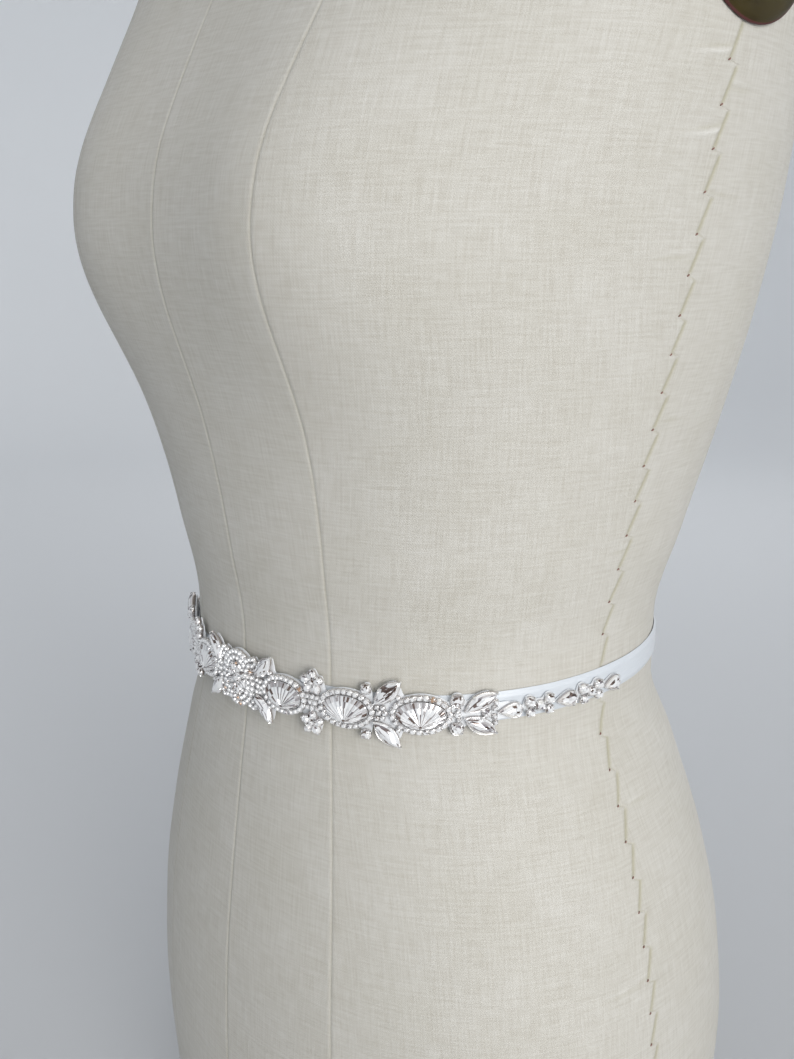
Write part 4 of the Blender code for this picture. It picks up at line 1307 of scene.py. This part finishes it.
def applique_outlines():
    """The points round every setting, which the felt's edge follows."""
    settings = [(medallion_setting(), 0.0)]
    for side in (-1, 1):
        settings += [(fan_setting(side * along), CLEARANCE + CHAIN_STONE) for along in FAN_CENTRES]
        found = [pear_setting(along, side) for along in PEARS]
        for along in link_middles():
            found += [round_setting(side * (along + at), up, size) for at, up, size in LINK_CUPS]
        for above in (-1, 1):
            found += [leaf_setting(row, above, side) for row in LEAVES]
            found += flower_settings(side * FLOWER_ALONG, above * FLOWER_UP)
            rounds = [row[-3:] for row in (*ROUNDS, *SMALL_STONES)]
            found += [round_setting(side * along, above * up, size) for along, up, size in rounds]
        settings += [(setting, 0.0) for setting in found]
    turns = np.arange(RING_POINTS) / RING_POINTS
    return [setting.ring(turns, 1.0, 0.0, margin)[:, :2] for setting, margin in settings]


def make_backing(material):
    """White felt under the stones. Its edge follows their outline in shallow scallops."""
    reach = PEARS[-1] + PEAR_LENGTH / 2 + BACKING_MARGIN
    along = np.linspace(-reach, reach, BACKING_STATIONS)
    spine = np.where(np.abs(along) < PEARS[0], BACKING_HALF_HEIGHT, 0.0)
    low, high = -APPLIQUE_DROP - spine, -APPLIQUE_DROP + spine
    for outline in applique_outlines():
        middle = outline[:, 1].mean()
        across, heights = outline[np.argsort(outline[:, 0])].T
        inside = (along > across[0]) & (along < across[-1])
        for sign, bound in ((1, high), (-1, low)):
            half = (heights - middle) * sign >= 0
            edge = np.interp(along, across[half], heights[half])
            better = inside & ((edge - bound) * sign > 0)
            bound[better] = edge[better]
    low, high = (np.convolve(np.pad(edge, 1, "edge"), EDGE_SOFTENING, "valid") for edge in (low, high))
    low = low - BACKING_MARGIN + BACKING_TRIM
    high = high + BACKING_MARGIN - BACKING_TRIM
    section = band_section(9, BACKING_SPACE * 0.9, 0.0)
    middle, half = (low + high) / 2, (high - low) / 2
    up = middle[:, None] + half[:, None] * section[None, :, 0]
    out = np.broadcast_to(BACKING_OUT + section[None, :, 1], up.shape)
    made = cloth_band("backing_felt", along, np.stack((up, out), -1), material)
    settle(made, "backing", "applique_backing")


# --- sewing ---
SIDE_STITCH = (0.00036, 0.00018)  # the radius of a stitch, and how far its middle is lifted
SIDE_STITCH_ROUND = np.array((-0.62, -0.40))  # from the seam to its ends, as shares of the slant
SIDE_STITCH_UP = np.array((0.0006, 0.0014))
SIDE_STITCHES = np.arange(-20, 17)
BEHIND_SASH = 0.012  # no stitch lies this near the waist line
LAP_STITCH = (0.00016, 0.00025)
LAP_STITCH_INSET = 0.003
LAP_STITCH_HALF_LENGTH = 0.0008
LAP_STITCH_SLANT = 0.0005
LAP_STITCHES = np.arange(-2, 3) * 0.0024


def make_stitches(name, slot, material, stitches, radius, lift):
    """Short threads that dip into the cloth at both ends: each has a start, an end and its way out."""
    points, faces = [], []
    rings, sides = 7, 6
    for stitch in stitches:
        start, end, out = (Vector(part) for part in stitch)
        side = (end - start).normalized().cross(out).normalized()
        faces += body_faces(rings, sides, turned=True, first=len(points))
        for ring in range(rings):
            part = ring / (rings - 1)
            middle = start.lerp(end, part) + out * lift * math.sin(math.pi * part)
            size = radius * (0.35 + 0.65 * math.sin(math.pi * min(max(part, 0.08), 0.92)))
            for k in range(sides):
                turn = 2 * math.pi * k / sides
                points.append(middle + (side * math.cos(turn) + out * math.sin(turn)) * size)
    settle(mesh_object(name, points, faces, [material]), slot)


def make_side_stitches(material):
    """The long hand stitches that close the cover's side seams, one at each slant's end."""
    stitches = []
    for height in HAND_STITCH_START + HAND_STITCH * SIDE_STITCHES:
        if abs(height) < BEHIND_SASH:
            continue
        depth = sections(np.array([height]))[1][0]
        angles = SIDE_SEAM + SIDE_STITCH_ROUND * HAND_STITCH_SLANT / depth
        for side in (-1, 1):
            stitches.append((*torso_points(side * angles, height + SIDE_STITCH_UP), (side, 0, 0)))
    make_stitches("side_seam_stitches", "linen", material, stitches, *SIDE_STITCH)


def make_lap_stitches(material):
    """Small stitches that close the ribbon at the centre back."""
    middle = (GIRTH + RIBBON_LAP) / 2 - LAP_STITCH_INSET
    out = RIBBON_OUT + SATIN_PLACE + SATIN_THICKNESS + RIBBON_SPACE + CLEARANCE
    stitches = []
    for up in LAP_STITCHES:
        start = (middle - LAP_STITCH_HALF_LENGTH, up, out)
        end = (middle + LAP_STITCH_HALF_LENGTH, up + LAP_STITCH_SLANT, out)
        stitches.append((*worn([start, end]), (0, 1, 0)))
    make_stitches("ribbon_lap_stitches", "satin", material, stitches, *LAP_STITCH)


# --- stage, light and camera ---
FLOOR_REACH = 2.4
BOWL_CURVE = 1.1
WALL_HEIGHT = 4.2
AIM_HEIGHT = WAIST_HEIGHT + 0.05


def make_stage():
    """A seamless pale bowl: floor, curve and wall in one, with painted shade that darkens its floor towards
    the middle.
    """
    material, tree, shader = new_material("stage", (0.6, 0.6, 0.6), 0.9, {"Specular IOR Level": 0.1})
    paint(tree, shader, shade_value(tree), ((0.0, (0.55, 0.56, 0.575)), (1.0, (0.945, 0.96, 0.975))))
    rings = []
    for turn in np.linspace(0, math.pi / 2, 13):
        reach, height = FLOOR_REACH + BOWL_CURVE * math.sin(turn), BOWL_CURVE * (1 - math.cos(turn))
        rings.append(flat_ring(disc(reach), height))
    rings.append(flat_ring(disc(FLOOR_REACH + BOWL_CURVE), WALL_HEIGHT))
    points = np.concatenate(([(0.0, 0.0, 0.0)], *rings))
    faces = [(0, 1 + i, 1 + (i + 1) % RING_POINTS) for i in range(RING_POINTS)]
    for level in range(len(rings) - 1):
        first = 1 + level * RING_POINTS
        faces += band(first, first + RING_POINTS, RING_POINTS, turned=True)
    made = mesh_object("studio_bowl", points, faces, [material])
    # Painted shade: the bowl is painted darker towards the middle of its floor and pale on its wall.
    far = np.hypot(points[:, 0], points[:, 1]) / (FLOOR_REACH + BOWL_CURVE)
    set_attribute(made, SHADE, "POINT", np.minimum(far, 1.0))


def point_at(made, way):
    """Turns a light or camera to look along a way."""
    made.rotation_euler = way.to_track_quat("-Z", "Y").to_euler()


def add_light(name, azimuth, elevation, distance, size, power, colour=(1.0, 1.0, 1.0), spread=180):
    """A square soft light that looks at the sash from a direction."""
    light = bpy.data.lights.new(name, "AREA")
    light.shape = "SQUARE"
    light.size = size
    light.energy = power
    light.color = colour
    light.spread = math.radians(spread)
    turn, rise = math.radians(azimuth), math.radians(elevation)
    away = Vector((math.sin(turn) * math.cos(rise), -math.cos(turn) * math.cos(rise), math.sin(rise)))
    made = add_object(name, light)
    made.location = Vector((0, 0, AIM_HEIGHT)) + away * distance
    point_at(made, -away)


def make_light():
    world = bpy.data.worlds.new("studio")
    world.use_nodes = True
    background = world.node_tree.nodes["Background"]
    background.inputs["Color"].default_value = (0.90, 0.92, 0.95, 1.0)
    background.inputs["Strength"].default_value = 0.68
    bpy.context.scene.world = world
    add_light("key", 71, 10, 2.0, 1.1, 4.6, (1.0, 0.99, 0.97), 60)
    add_light("top", 20, 68, 2.0, 1.2, 0.5)
    add_light("back_fill", 215, 35, 2.2, 1.2, 8, (0.98, 0.99, 1.0))


def make_camera():
    data = bpy.data.cameras.new("camera")
    data.sensor_width = SENSOR
    data.lens = SENSOR * FOCAL_PIXELS / PHOTO_HEIGHT
    data.clip_start = 0.01
    made = add_object("camera", data)
    made.location = CAMERA_PLACE
    point_at(made, CAMERA_AIM - CAMERA_PLACE)
    bpy.context.scene.camera = made


make_camera()
make_light()
make_stage()
bpy.context.scene.view_settings.view_transform = "Standard"

SILVER = silver_material()
CRYSTAL = crystal_material()
PLATE = plate_material()
PLATE_RIM = new_material("plate_rim", (0.075, 0.013, 0.012), 0.5)[0]

make_cover(linen_material())
make_arm_plate("form_arm_plate_left", 1, PLATE, PLATE_RIM)
make_arm_plate("form_arm_plate_right", -1, PLATE, PLATE_RIM)
make_ribbon(satin_material())
make_backing(felt_material())
make_medallion()
make_side(1, "left")
make_side(-1, "right")
make_side_stitches(thread_material("brown_thread", (0.28, 0.15, 0.12)))
make_lap_stitches(thread_material("white_thread", (0.85, 0.87, 0.90)))
